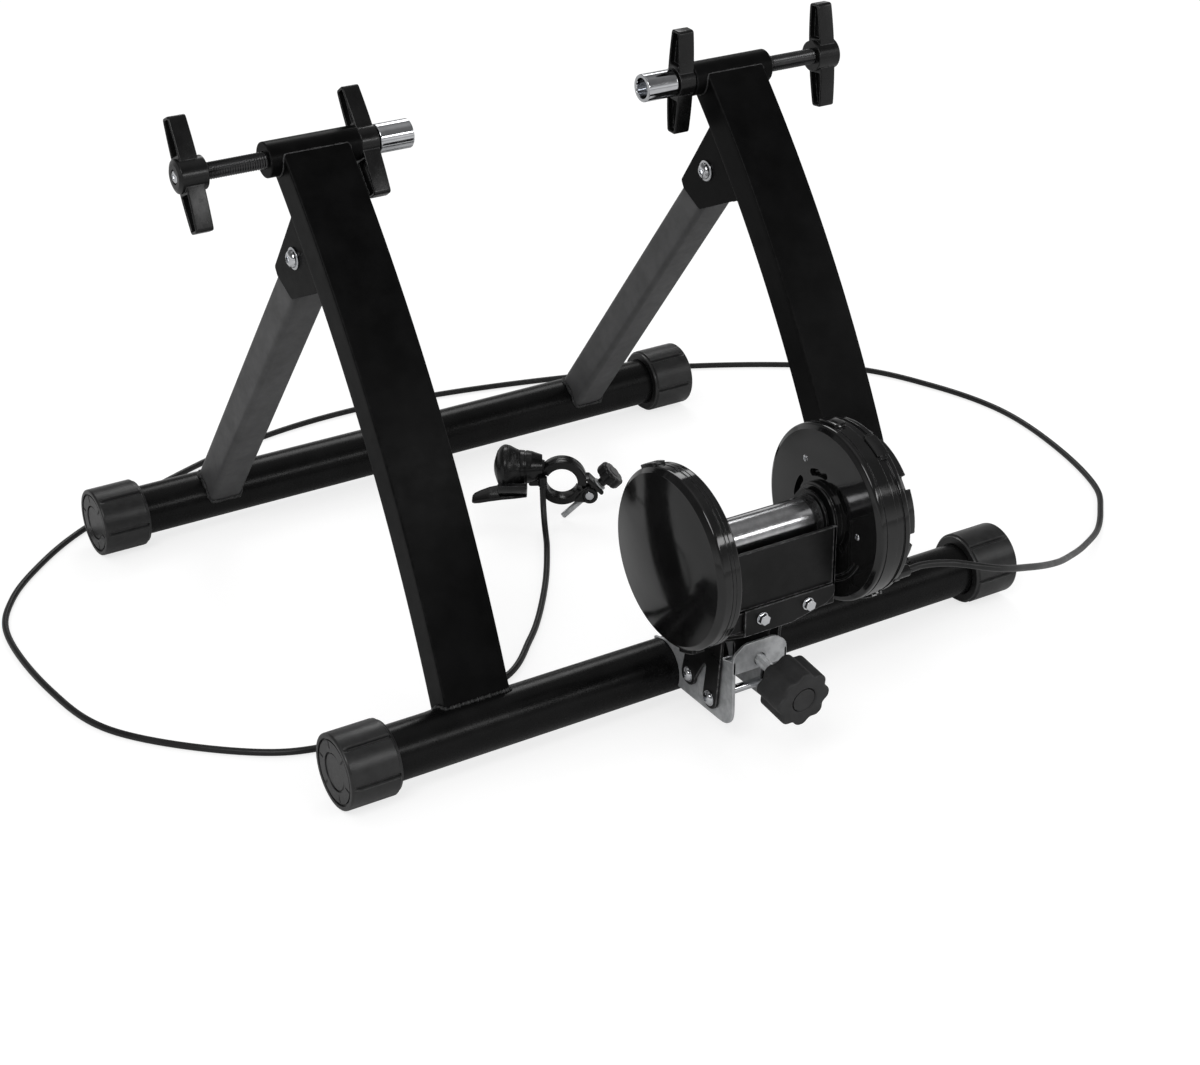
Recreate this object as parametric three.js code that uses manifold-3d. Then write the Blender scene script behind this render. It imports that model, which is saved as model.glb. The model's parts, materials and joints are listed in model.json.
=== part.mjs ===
// Wheel-on turbo trainer: a folding A-frame that holds a bicycle's rear axle between two
// screw clamps, over a roller with a flywheel and a cable-set magnetic brake.
// Millimetres, +Z up, X along the two floor tubes, the folding legs on the +Y side.
import * as THREE from 'three';
import { mergeVertices } from 'three/addons/utils/BufferGeometryUtils.js';
import Module from 'manifold-3d';

const wasm = await Module();
wasm.setup();

// Clearances shared by the whole part
const gap = 0.3;             // between pieces that touch
const overrun = 5;           // how far a cutting body runs past what it cuts
const overlap = 1;           // how far bodies that are joined run into each other
const mergeTolerance = 1e-4;
const edgeShare = 0.3;       // the middle corner of a rounded edge, as a share of its radius
const smallSides = 12;
const roundSides = 16;
const wideSides = 24;

// A domed head from its top to its rim: shares of its height and of its radius
const domeShares = [[0, 0], [0, 0.45], [0.35, 0.85], [1, 1]];

// Floor tubes and their rubber feet
const baseLength = 545;      // front floor tube over its feet
const legTubeLength = 537;   // rear floor tube over its feet
const tubeRadius = 19;
const tubeWall = 1.6;
const footRadius = 26;
const footLength = 37.2;
const footEndWall = 4.2;
const footEdge = 2.6;        // rounding of the outer rim
const footDishRadius = 17;
const footDishDepth = 0.9;
const footNotchCount = 6;
const footNotchRadius = 2.2;
const footNotchLength = 11;
const footNotchSides = 6;
const footNotchOutShare = 0.4;  // of a notch's axis outside the foot, of the notch's radius
const footSides = 20;
const tubeHeight = footRadius * Math.cos(Math.PI / footSides);
const footSpread = 417;      // between the two tube axes

// Curved uprights, from the front tube to the axle line
const axleSetback = 204.6;
const axleHeight = 360.2;
const uprightSpread = 333;   // between the uprights' middle planes
const uprightWidth = 48.2;
const uprightDepth = 23.6;
const uprightWall = 1.6;
const uprightHeel = 5.4;     // how far behind the tube axis the curve starts
const uprightBow = 19.6;     // height of the arc over its chord
const uprightSteps = 10;

// Folding legs and the gussets they turn in
const pivotDrop = 55;        // along the upright, below the axle line
const pivotStandoff = 34.8;  // behind the upright's rear face
const legSide = 27.2;
const legWall = 1.6;
const gussetSheet = 2.2;
const gussetTop = 27.7;
const gussetHeel = 37.2;
const gussetNose = 35.7;
const gussetNoseRise = 8.4;
const gussetChin = 36.8;
const gussetChinRise = 1.5;
const gussetJaw = 27.5;
const gussetJawDrop = 19.6;
const gussetSteps = 4;
const pivotBoltRadius = 4;
const pivotHeadRadius = 5.8;
const pivotHeadHeight = 3.6;
const pivotWasherRadius = 7.8;
const pivotWasherThickness = 1.3;

// Axle clamps: sleeve, screw, cup, lock nut and handle
const sleeveRadius = 12;
const sleeveLength = 66;
const screwRadius = 5.85;
const cupRadius = 10;
const cupBore = 7.25;
const cupBoreDepth = 13.5;
const cupSocketDepth = 7;
const cupGap = 187;          // between the two cup faces
const lockNutPlay = 1.4;
const lockHubLength = 13.2;
const lockHubRadius = 11;
const handleHubLength = 20;
const handleHubRadius = 11.3;
const handleDome = 1.2;
const handleOutset = 42.8;   // from the sleeve's outer end to the handle's hub
const screwSocket = 14;      // how deep the screw sits in the handle
const wingReach = 38;
const wingRootHalf = 7.6;
const wingTipHalf = 4.6;
const wingTipRound = 2.2;
const wingDepth = 12.6;
const wingRim = 1.9;
const wingPocketDepth = 4.4;
const wingTilt = { left: [25, 33], right: [5, -4] };  // degrees from upright, handle and lock nut
const chamfer = 0.8;

// Roller unit, measured from the roller's axis
const rollerSetback = -76;
const rollerHeight = 153.3;
const rollerRadius = 14;
const rollerLength = 71;
const shaftRadius = 5;
const cradleHalfDepth = 24;
const cradleSheet = 2.5;
const cradleFloorDrop = 39.8;
const cradleWallRise = 2.7;
const cradleHalfLength = 44.8;
const cradleCollarRadius = 22.6;
const flangeDrop = 13.4;     // of the cradle's front flange below its floor
const bearingRadius = 15.6;
const bearingFlangeRadius = 19;
const bearingFlange = 1.8;
const bearingNeckRadius = 10;
const bearingStepHeight = 1.6;
const bearingStepLength = 1.7;
const coverRadius = 60;
const coverWall = 2.6;
const coverSides = 24;
const coverEdge = 3.6;
const coverRim = 1.4;        // chamfer of the housings' rear rims and of the dial
const coverDomeShares = [0.35, 0.7, 0.9];
const housingClear = 1;      // between what turns and the housing round it
const shaftStub = 1;
const coverBossRadius = 22.4;
const flywheelRadius = 53;
const flywheelThickness = 8;
const flywheelCoverFace = 70.5;
const flywheelCoverSeam = 59;
const flywheelCoverBack = 54.5;
const flywheelDome = 6;
const brakeFace = 50;
const brakeSeam = 66;
const brakeBack = 76.6;
const brakeBackRadius = 59.4;
const brakeMouth = 18;
const rotorRadius = 50;
const rotorThickness = 3;
const magnetRadius = 49;
const magnetThickness = 3.4;
const dialRadius = 50;
const dialThickness = 11;
const dialNotchCount = 8;
const dialNotchDepth = 5;
const dialNotchWidth = 9;
const dialRecess = 3;
const dialRimWidth = 8;
const dialTurnShare = 0.2;   // of the first notch, of the angle between two
const magnetBoreShare = 0.4; // of the dial's hub
const ventCount = 6;
const ventInner = 25;
const ventOuter = 31;
const ventSweep = THREE.MathUtils.degToRad(32);
const ventTurnShare = 0.35;  // of the first vent, of the angle between two
const clipRise = 2.2;
const clipLength = 9;
const clipWidth = 16;
const flywheelClips = [64, -108];    // degrees round the rim, from the rear to the top
const brakeInnerClips = [84, -40];
const brakeOuterClips = [117, -118];
const bandDepth = 1.1;       // ring groove round the brake housing
const bandWidth = 2.4;
const glandRadius = 4.2;
const glandLength = 12;
const glandAngle = THREE.MathUtils.degToRad(-144);
const cableRadius = 2.4;

// Mount on the front tube, measured from the tube's axis
const cheekHalf = 21.5;      // outer faces of the fixed bracket
const cheekSheet = 2.1;
const cheekFront = 81.5;
const cheekFoot = -10.2;
const cheekHeel = -7.2;
const cheekRound = 8;
const cheekFootFront = 70;
const cheekTop = 40;
const cheekRearTop = 17;
const cheekRear = 12;
const webBottom = 31;
const webShoulder = 44;
const webCrown = 51;
const webCrownHalf = 12;
const swingPivotReach = 33.4;
const swingPivotRise = 10.1;
const guideReach = 58.6;
const guideRise = 4;
const slotSteps = 4;
const pinRadius = 3;
const pinHeadRadius = 4.8;
const pinHeadHeight = 3.2;
const swingHalfRange = THREE.MathUtils.degToRad(5);
const armSheet = 2.4;
const armLegRadius = 8;
const armNotchReach = 55.5;
const armNotchRise = 33;
const armBrow = 5.6;         // of the neck's web in front of the guide leg
const armNeckRise = 54;
const armShoulderRise = 52.4;
const armBackTop = 46;
const tongueHalf = 14;
const tongueBottom = 27;
const lipLeft = -28;
const lipRight = 43;
const lipBottomDrop = 16;    // of the lip below the cradle's floor
const lipBolts = [-15, 21];
const boltHeadRadius = 4.6;
const boltHeadHeight = 4;
const boltSides = 6;
const boltShankRadius = 2.8;
const boltDrop = 7.8;        // of the lip bolts below the cradle's floor
const tensionTilt = THREE.MathUtils.degToRad(8);
const tensionRise = 37;
const tensionRadius = 3.9;
const tensionTipRadius = 5.2;
const tensionTipLength = 2.6;
const tensionTipGap = 0.5;
const tensionTipShares = [[0, 0], [0, 1], [0.6, 1], [0.88, 0.6], [1, 0.15], [1, 0]];
const knobStandoff = 24;
const knobLength = 25.5;
const knobRadius = 20.3;
const knobLobes = 8;
const knobLobeDepth = 2.6;
const knobLobeSteps = 5;
const knobLobeSharpness = 1.5;
const knobBevel = 1.6;
const knobCapRadius = 8.4;
const knobCapRise = 0.7;

// Remote shifter, measured from the middle of its handlebar ring
const ringPlace = new THREE.Vector3(62.6, 270.7, 34);
const ringTurn = THREE.MathUtils.degToRad(-32);
const ringBore = 12.3;
const ringOuter = 19.2;
const ringHalfWidth = 6.4;
const ringFrom = -8;         // degrees from the ring's right side, of the fixed half
const ringTo = 150;
const ringStep = 18;
const jawOuter = 18.4;
const jawFrom = 196;
const jawTo = 336;
const jawTongueFrom = 172;
const jawTongueTo = 200;
const jawRoomTo = 215;
const jawArmDegrees = [-28, -50, -60];  // where the swivel's arm meets the jaw
const jawHingeReach = 17.4;
const jawHingeRise = 3;
const jawHingeLug = 4.2;
const jawHingePinRadius = 1.6;
const jawTongueHalf = 3;
const barrelRadius = 18;
const barrelRise = 12;
const barrelFar = 53;
const barrelNear = 25;
const barrelDome = 12;
const barrelEdge = 2;
const barrelShares = [[0, 0], [0.1, 0.42], [0.4, 0.78], [1, 1]];
const neckRadius = 12.5;
const neckTaper = 3;
const neckSink = 4;
const hingeBlockFoot = 2;
const hingeBlockShare = 0.75;  // of the ring's radius, of the block's height at the ring
const leverWall = 3.2;
const leverStart = 50;
const leverEnd = 27.5;
const leverTip = 71;
const leverTipDrop = 24;
const leverTipHalf = 8;
const saddleFrom = 200;
const saddleTo = 340;
// The paddle's outline: shares of its length from the lever's inner end, and of its drop
const paddleShares = [
  [0, 0.027], [0.517, 0.013], [1, 0.28], [0.954, 0.42], [0.793, 0.5], [0.379, 0.2], [0, 0.173],
];
const swivelReach = 21.5;
const swivelRise = -11;
const swivelRadius = 3.4;
const swivelLug = 6.6;
const thumbRadius = 2.5;
const thumbTilt = THREE.MathUtils.degToRad(43.3);
const thumbTail = 29.2;
const earInner = 7.1;
const earOuter = 10.2;
const earHalf = 6;
const earTail = 14;
const earTailOuter = 11;
const washerRadius = 5.4;
const washerThickness = 1.2;
const thumbNeckRadius = 3.6;
const thumbKnobStart = 17.5;
const thumbKnobThickness = 9;
const thumbKnobRadius = 11;
const thumbFlutes = 8;
const thumbFluteDepth = 0.8;
const thumbFluteSteps = 4;
const shifterGlandRadius = 3.6;
const shifterGlandLength = 8;
const shifterGlandReach = 15;
const shifterGlandOut = 10;
const shifterGlandArmHalf = 2.5;
const shifterGlandArmShare = 0.4;

// Brake cable: from the shifter down to the floor, round behind the frame and up to the brake
const cableSides = 8;
const cableSteps = 60;
const cableEndDense = 0.6;   // how far the steps crowd towards both ends
const cableStart = [44.6, 270.2, 33.7];
const cableRoute = [
  [44.5, 270, 28], [42.7, 266.4, 17], [38.6, 258, 6.8], [32.6, 246, 2.6], [26, 234, 2.5],
  [-3.7, 186.4, 2.5], [-40.5, 136.7, 2.5], [-60.5, 114.5, 2.5], [-98.6, 80, 2.5], [-166, 64.5, 2.5],
  [-252.6, 65.9, 2.5], [-292.6, 85.8, 2.5], [-360.1, 162.3, 2.5], [-375.2, 234.5, 2.5],
  [-371.3, 333.1, 2.5], [-351.8, 374.5, 2.5], [-320.5, 410.9, 2.5], [-263.7, 456, 2.5],
  [-99.7, 530.5, 2.5], [9.9, 545.7, 2.5], [106.1, 533, 2.5], [204.6, 507.4, 2.5], [317, 466.7, 2.5],
  [434.8, 384.3, 2.5], [470.5, 315.3, 2.5], [486.6, 240.1, 2.5], [474.6, 150.4, 2.5], [449, 78, 2.5],
  [425, 48, 2.6], [398, 22, 4.6], [355.5, -8.6, 15.6], [303.1, -47.3, 38], [247.7, -89.7, 66.7],
  [192.4, -123.3, 94.2], [150, -137, 111.5], [119, -126, 119.4], [100, -120.8, 121],
];

// Materials
function finish(color, roughness, metalness) {
  return new THREE.MeshStandardMaterial({ color, roughness, metalness });
}
const blackPaint = () => finish(0x111111, 0.42, 0.1);
const greyPaint = () => finish(0x3e3e40, 0.5, 0.15);
const rubber = () => finish(0x1d1d1f, 0.85, 0);
const chrome = () => finish(0xc9cbce, 0.14, 1);
const zinc = () => finish(0x8d8f91, 0.38, 0.85);
const blackPlastic = () => finish(0x141415, 0.5, 0);
const glossPlastic = () => finish(0x0c0c0d, 0.12, 0);
const darkSteel = () => finish(0x2a2a2b, 0.45, 0.7);
const aluminium = () => finish(0xa8aaad, 0.35, 0.9);
const magnetGrey = () => finish(0x4a4b4e, 0.6, 0.3);

// Geometry helpers
const X = new THREE.Vector3(1, 0, 0);
const Y = new THREE.Vector3(0, 1, 0);
const Z = new THREE.Vector3(0, 0, 1);
const turnToX = new THREE.Matrix4().makeBasis(Y, Z, X);
const turnToY = new THREE.Matrix4().makeBasis(X, Z, Y.clone().negate());
const latheToX = new THREE.Matrix4().makeBasis(Z, X, Y);

// A closed mesh as a solid: corners merged, flat slivers dropped, faces pointing out
function solid(geometry) {
  const bare = geometry.clone();
  bare.deleteAttribute('normal');
  bare.deleteAttribute('uv');
  const merged = mergeVertices(bare, mergeTolerance);
  const place = merged.getAttribute('position').array;
  const index = merged.index.array;
  const kept = [];
  let volume = 0;
  const corner = [new THREE.Vector3(), new THREE.Vector3(), new THREE.Vector3()];
  for (let i = 0; i < index.length; i += 3) {
    const [a, b, c] = [index[i], index[i + 1], index[i + 2]];
    if (a === b || b === c || c === a) continue;
    kept.push(a, b, c);
    corner.forEach((v, k) => v.fromArray(place, 3 * index[i + k]));
    volume += corner[0].dot(corner[1].clone().cross(corner[2]));
  }
  if (volume < 0) kept.reverse();
  return new wasm.Manifold(new wasm.Mesh({
    numProp: 3,
    vertProperties: new Float32Array(place),
    triVerts: new Uint32Array(kept),
  }));
}

const join = (first, ...rest) => rest.reduce((sum, next) => sum.add(next), first);
const cut = (first, ...rest) => rest.reduce((sum, next) => sum.subtract(next), first);

function piece(name, body, material) {
  const shell = body.getMesh();
  const geometry = new THREE.BufferGeometry();
  geometry.setAttribute('position', new THREE.BufferAttribute(new Float32Array(shell.vertProperties), 3));
  geometry.setIndex(new THREE.BufferAttribute(new Uint32Array(shell.triVerts), 1));
  geometry.computeVertexNormals();
  const mesh = new THREE.Mesh(geometry, material);
  mesh.name = name;
  return mesh;
}

function extruded(shape, from, to, matrix, curveSegments = 8) {
  const geometry = new THREE.ExtrudeGeometry(shape, {
    depth: to - from, bevelEnabled: false, curveSegments, steps: 1,
  });
  geometry.translate(0, 0, from);
  if (matrix) geometry.applyMatrix4(matrix);
  return solid(geometry);
}

// A (y, z) outline drawn out along X, an (x, z) outline along Y, an (x, y) outline along Z
const alongX = (shape, from, to, segments) => extruded(shape, from, to, turnToX, segments);
const alongY = (shape, from, to, segments) => extruded(shape, -to, -from, turnToY, segments);
const alongZ = (shape, from, to, segments) => extruded(shape, from, to, null, segments);

// A profile of [x, radius] points turned round the X axis, with a flat facet facing down
function turned(profile, sides) {
  const points = profile.map(([x, r]) => new THREE.Vector2(r, x));
  const geometry = new THREE.LatheGeometry(points, sides, Math.PI / sides);
  geometry.applyMatrix4(latheToX);
  return solid(geometry);
}

const rod = (radius, from, to, count = roundSides) => turned(
  [[from, 0], [from, radius], [to, radius], [to, 0]], count);
const pipe = (radius, bore, from, to, count = wideSides) => turned(
  [[from, bore], [from, radius], [to, radius], [to, bore], [from, bore]], count);
const moved = (body, x, y, z) => body.translate([x, y, z]);
const tiltX = (body, angle) => body.rotate([THREE.MathUtils.radToDeg(angle), 0, 0]);

// The outline of a dome or tip between two places along X, from a table of shares
const domed = (shares, from, to, radius) => shares.map(
  ([along, out]) => [from + (to - from) * along, radius * out]);

function polygon(points) {
  return new THREE.Shape(points.map(([a, b]) => new THREE.Vector2(a, b)));
}

function box(x0, x1, y0, y1, z0, z1) {
  return alongZ(polygon([[x0, y0], [x1, y0], [x1, y1], [x0, y1]]), z0, z1);
}

function rectangle(halfWidth, halfHeight) {
  return polygon([[-halfWidth, -halfHeight], [halfWidth, -halfHeight],
    [halfWidth, halfHeight], [-halfWidth, halfHeight]]);
}

function disc(radius, centreA = 0, centreB = 0) {
  const shape = new THREE.Shape();
  shape.absarc(centreA, centreB, radius, 0, 2 * Math.PI, false);
  return shape;
}

// A rod between two faces, at a place in the (y, z) plane
const pinAt = (radius, from, to, y, z, sides) => moved(rod(radius, from, to, sides), 0, y, z);

// What make gives for the left and for the right side
function both(make) {
  return [['left', -1], ['right', 1]].flatMap(([side, sign]) => make(side, sign));
}

// The uprights' arc in the (y, z) plane, through the tube's heel point and the axle line
function uprightArc() {
  const heel = new THREE.Vector2(uprightHeel, tubeHeight);
  const top = new THREE.Vector2(axleSetback, axleHeight);
  const chord = top.clone().sub(heel);
  const length = chord.length();
  const radius = length * length / (8 * uprightBow) + uprightBow / 2;
  const along = chord.clone().normalize();
  const rear = new THREE.Vector2(along.y, -along.x);
  const centre = heel.clone().add(top).multiplyScalar(0.5).addScaledVector(rear, radius - uprightBow);
  const angleOf = (p) => Math.atan2(p.y - centre.y, p.x - centre.x);
  return { centre, radius, heelAngle: angleOf(heel), topAngle: angleOf(top) };
}
const arc = uprightArc();

// A point of the upright: angle on the arc, offset to the front of its middle line
function onUpright(angle, offset) {
  const r = arc.radius + offset;
  return [arc.centre.x + r * Math.cos(angle), arc.centre.y + r * Math.sin(angle)];
}

// The strip between two offsets of the arc, as an outline in the (y, z) plane
function bentStrip(front, rear, from, to, steps) {
  const points = [];
  for (let i = 0; i <= steps; i += 1) points.push(onUpright(from + (to - from) * i / steps, front));
  for (let i = steps; i >= 0; i -= 1) points.push(onUpright(from + (to - from) * i / steps, -rear));
  return polygon(points);
}

// The leg pivot lies behind the upright's rear face, on a line square to it
const pivotAngle = arc.topAngle + pivotDrop / arc.radius;
const pivotPoint = onUpright(pivotAngle, -(uprightDepth / 2 + pivotStandoff));
const legTilt = Math.atan2(footSpread - pivotPoint[0], pivotPoint[1] - tubeHeight);
const legSpan = Math.hypot(footSpread - pivotPoint[0], pivotPoint[1] - tubeHeight);

function floorTube(name, length) {
  const reach = length / 2 - footEndWall - gap;
  return piece(name, pipe(tubeRadius, tubeRadius - tubeWall, -reach, reach), blackPaint());
}

// A rubber foot over a tube's end: cup with rounded rim, dished face and grip notches
function foot(name) {
  const bore = tubeRadius + gap;
  const lip = footLength;
  const cup = turned([
    [footDishDepth, 0], [footDishDepth, footDishRadius - footDishDepth], [0, footDishRadius],
    [0, footRadius - footEdge], [footEdge * edgeShare, footRadius - footEdge * edgeShare],
    [footEdge, footRadius], [lip, footRadius], [lip, bore], [footEndWall, bore], [footEndWall, 0],
  ], footSides);
  const notches = [];
  const reach = footRadius + footNotchRadius * footNotchOutShare;
  for (let i = 0; i < footNotchCount; i += 1) {
    const angle = 2 * Math.PI * (i + 0.5) / footNotchCount - Math.PI / 2;
    notches.push(pinAt(footNotchRadius, lip - footNotchLength, lip + overrun,
      reach * Math.cos(angle), reach * Math.sin(angle), footNotchSides));
  }
  return piece(name, cut(cup, ...notches), rubber());
}

// Feet sit at both ends of a tube, mouths facing each other
function feet(prefix, length, tilt) {
  return both((side, sign) => {
    const mesh = foot(`${prefix}_foot_${side}`);
    mesh.position.x = sign * length / 2;
    mesh.rotation.set(-tilt, 0, sign > 0 ? Math.PI : 0);
    return mesh;
  });
}

// A bent box tube from the front tube to the clamp sleeve, coped to both
function uprightBody() {
  const run = overrun / arc.radius;
  const half = uprightDepth / 2;
  const shell = alongX(bentStrip(half, half, arc.heelAngle, arc.topAngle, uprightSteps),
    -uprightWidth / 2, uprightWidth / 2);
  const inner = half - uprightWall;
  const hollow = alongX(bentStrip(inner, inner, arc.heelAngle + run, arc.topAngle - run, uprightSteps),
    uprightWall - uprightWidth / 2, uprightWidth / 2 - uprightWall);
  const cope = (radius, y, z) => pinAt(radius + gap, -uprightWidth, uprightWidth, y, z, wideSides);
  return cut(shell, hollow, cope(tubeRadius, 0, tubeHeight), cope(sleeveRadius, axleSetback, axleHeight));
}

function uprights() {
  return both((side, sign) => {
    const mesh = piece(`upright_${side}`, uprightBody(), blackPaint());
    mesh.position.x = sign * uprightSpread / 2;
    return mesh;
  });
}

// Gusset: two side plates and a web that follows the upright's rear face
function gussetBody() {
  const inner = legSide / 2 + gap;
  const outer = inner + gussetSheet;
  const rear = uprightDepth / 2 + gap;
  const [py, pz] = pivotPoint;
  const out = new THREE.Vector2(arc.centre.x - py, arc.centre.y - pz).normalize();
  const up = new THREE.Vector2(-out.y, out.x);
  const at = (rise, reach) => [py + up.x * rise + out.x * reach, pz + up.y * rise + out.y * reach];
  const topAngle = pivotAngle - gussetTop / arc.radius;
  const heelAngle = pivotAngle + gussetHeel / arc.radius;
  const run = overrun / arc.radius;
  const depth = uprightDepth / 2 + pivotStandoff + gussetChin + overrun;
  const backEdge = [];
  for (let i = 0; i <= gussetSteps; i += 1) {
    backEdge.push(onUpright(heelAngle + (topAngle - heelAngle) * i / gussetSteps, -rear));
  }
  const outline = polygon([...backEdge, at(gussetNoseRise, gussetNose), at(gussetChinRise, gussetChin),
    at(-gussetJawDrop, gussetJaw)]);
  const block = alongX(outline, -outer, outer);
  const slot = alongX(bentStrip(-(rear + gussetSheet), depth, heelAngle + run, topAngle - run, gussetSteps),
    -inner, inner);
  const hole = pinAt(pivotBoltRadius + gap, -outer - overrun, outer + overrun, py, pz);
  return cut(block, slot, hole);
}

const gussetHalf = legSide / 2 + gap + gussetSheet;

// Domed bolt through the gusset, and its domed nut on the other side
function pivotBoltBody() {
  const seat = -gussetHalf - gap;
  const rim = seat - pivotWasherThickness;
  return turned([
    ...domed(domeShares, rim - pivotHeadHeight, rim, pivotHeadRadius),
    [rim, pivotWasherRadius], [seat, pivotWasherRadius], [seat, pivotBoltRadius],
    [gussetHalf + pivotHeadHeight, pivotBoltRadius], [gussetHalf + pivotHeadHeight, 0],
  ], smallSides);
}

function pivotNutBody() {
  const seat = gussetHalf + gap;
  const rim = seat + pivotWasherThickness;
  const bore = pivotBoltRadius + gap;
  return turned([
    [seat, bore], [seat, pivotWasherRadius], [rim, pivotWasherRadius],
    ...domed(domeShares, seat + 2 * pivotHeadHeight, rim, pivotHeadRadius).reverse(),
    [seat + pivotHeadHeight + gap, 0], [seat + pivotHeadHeight + gap, bore], [seat, bore],
  ], smallSides);
}

function gussets() {
  return both((side, sign) => {
    const bracket = piece(`pivot_bracket_${side}`, gussetBody(), blackPaint());
    const bolt = piece(`pivot_bolt_${side}`, pivotBoltBody(), chrome());
    const nut = piece(`pivot_nut_${side}`, pivotNutBody(), chrome());
    bracket.position.x = sign * uprightSpread / 2;
    bolt.position.set(sign * uprightSpread / 2, ...pivotPoint);
    nut.position.copy(bolt.position);
    return [bracket, bolt, nut];
  });
}

// A leg runs down -Z from the pivot. Open, its mitred top bears on the gusset's web, and the
// corner that has to pass the web as the leg folds is cut back inside the web's distance.
function legSideOutline() {
  const half = legSide / 2;
  const webClear = pivotStandoff - gussetSheet - 3 * gap;
  const lean = Math.PI / 2 - legTilt - Math.atan2(pivotPoint[1] - arc.centre.y, arc.centre.x - pivotPoint[0]);
  const passing = Math.sqrt(webClear ** 2 - half ** 2) - gap;
  const turningY = -webClear * Math.sin(lean);
  const turningZ = webClear * Math.cos(lean);
  const upper = (webClear + half * Math.sin(lean)) / Math.cos(lean);
  return polygon([[-half, -legSpan], [half, -legSpan], [half, upper], [turningY, turningZ],
    [-half, passing]]);
}

function legBody() {
  const half = legSide / 2;
  const shell = alongX(legSideOutline(), -half, half);
  const inner = half - legWall;
  const hollow = alongZ(rectangle(inner, inner), -legSpan - overrun, pivotStandoff + legSide);
  const tubeCope = pinAt(tubeRadius + gap, -legSide, legSide, 0, -legSpan, wideSides);
  const boltHole = pinAt(pivotBoltRadius + gap, -legSide, legSide, 0, 0);
  return cut(shell, hollow, tubeCope, boltHole);
}

function legFrame() {
  const group = new THREE.Group();
  group.position.set(0, ...pivotPoint);
  group.rotation.x = legTilt;
  const tube = floorTube('leg_tube', legTubeLength);
  tube.position.z = -legSpan;
  const legs = both((side, sign) => {
    const leg = piece(`leg_${side}`, legBody(), greyPaint());
    leg.position.x = sign * uprightSpread / 2;
    return leg;
  });
  const legFeet = feet('leg', legTubeLength, legTilt);
  legFeet.forEach((mesh) => { mesh.position.z = -legSpan; });
  group.add(tube, ...legs, ...legFeet);
  return group;
}

// Clamp parts are built for the left side, +X pointing in at the wheel
const sleeveInner = -(uprightSpread - sleeveLength) / 2;
const sleeveOuter = sleeveInner - sleeveLength;
const lockHubStart = sleeveInner + gap;
const lockHubEnd = lockHubStart + lockHubLength;
const cupBack = lockHubEnd + lockNutPlay;
const cupFace = -cupGap / 2;
const handleInner = sleeveOuter - handleOutset;
const handleOuter = handleInner - handleHubLength;

function sleeveBody() {
  return turned([
    [sleeveOuter, screwRadius + gap], [sleeveOuter, sleeveRadius - chamfer],
    [sleeveOuter + chamfer, sleeveRadius], [sleeveInner - chamfer, sleeveRadius],
    [sleeveInner, sleeveRadius - chamfer], [sleeveInner, screwRadius + gap],
    [sleeveOuter, screwRadius + gap],
  ], roundSides);
}

function cupBody() {
  const socket = cupBack + cupSocketDepth;
  return turned([
    [socket, 0], [socket, screwRadius + gap], [cupBack, screwRadius + gap],
    [cupBack, cupRadius - chamfer], [cupBack + chamfer, cupRadius], [cupFace - chamfer, cupRadius],
    [cupFace, cupRadius - chamfer], [cupFace, cupBore + chamfer / 2], [cupFace - chamfer / 2, cupBore],
    [cupFace - cupBoreDepth, cupBore], [cupFace - cupBoreDepth, 0],
  ], roundSides);
}

// Two tapered wings on a hub, with a pocket in each face of each wing
function wingOutline() {
  const shape = new THREE.Shape();
  const root = Math.sqrt(handleHubRadius ** 2 - wingRootHalf ** 2);
  const tip = wingTipHalf;
  const end = wingReach;
  const r = wingTipRound;
  shape.moveTo(wingRootHalf, root);
  shape.lineTo(tip, end - r);
  shape.quadraticCurveTo(tip, end, tip - r, end);
  shape.lineTo(r - tip, end);
  shape.quadraticCurveTo(-tip, end, -tip, end - r);
  shape.lineTo(-wingRootHalf, root);
  shape.lineTo(-wingRootHalf, -root);
  shape.lineTo(-tip, r - end);
  shape.quadraticCurveTo(-tip, -end, r - tip, -end);
  shape.lineTo(tip - r, -end);
  shape.quadraticCurveTo(tip, -end, tip, r - end);
  shape.lineTo(wingRootHalf, -root);
  return shape;
}

function wingPocket(sign) {
  const near = handleHubRadius + wingRim;
  const far = wingReach - wingRim;
  const nearHalf = wingRootHalf - wingRim;
  const farHalf = wingTipHalf - wingRim;
  return polygon([[nearHalf, sign * near], [farHalf, sign * far], [-farHalf, sign * far],
    [-nearHalf, sign * near]]);
}

// Wings centred on x = 0, with their hub from one face to the other
function wingedHub(from, to, hubRadius, tilt) {
  const half = wingDepth / 2;
  const wings = alongX(wingOutline(), -half, half, 2);
  const hub = turned([[from, 0], [from, hubRadius - 3 * handleDome], [from + handleDome, hubRadius],
    [to - chamfer, hubRadius], [to, hubRadius - chamfer], [to, 0]], roundSides);
  const pockets = [1, -1].flatMap((sign) => [
    alongX(wingPocket(sign), -half - overrun, wingPocketDepth - half),
    alongX(wingPocket(sign), half - wingPocketDepth, half + overrun),
  ]);
  return tiltX(cut(join(hub, wings), ...pockets), tilt);
}

function handleBody(tilt) {
  const face = handleHubLength / 2;
  const hub = wingedHub(-face, face, handleHubRadius, tilt);
  return cut(hub, rod(screwRadius + gap, face - screwSocket - gap, face + overrun));
}

function lockNutBody(tilt) {
  const hub = wingedHub(-lockHubLength / 2, lockHubLength / 2, lockHubRadius, tilt);
  return cut(hub, rod(screwRadius + gap, -lockHubLength, lockHubLength));
}

function clampScrewBody() {
  const start = handleInner - screwSocket;
  const end = cupBack + cupSocketDepth - gap;
  return turned([[start, 0], [start, screwRadius - chamfer], [start + chamfer, screwRadius],
    [end - chamfer, screwRadius], [end, screwRadius - chamfer], [end, 0]], smallSides);
}

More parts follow.
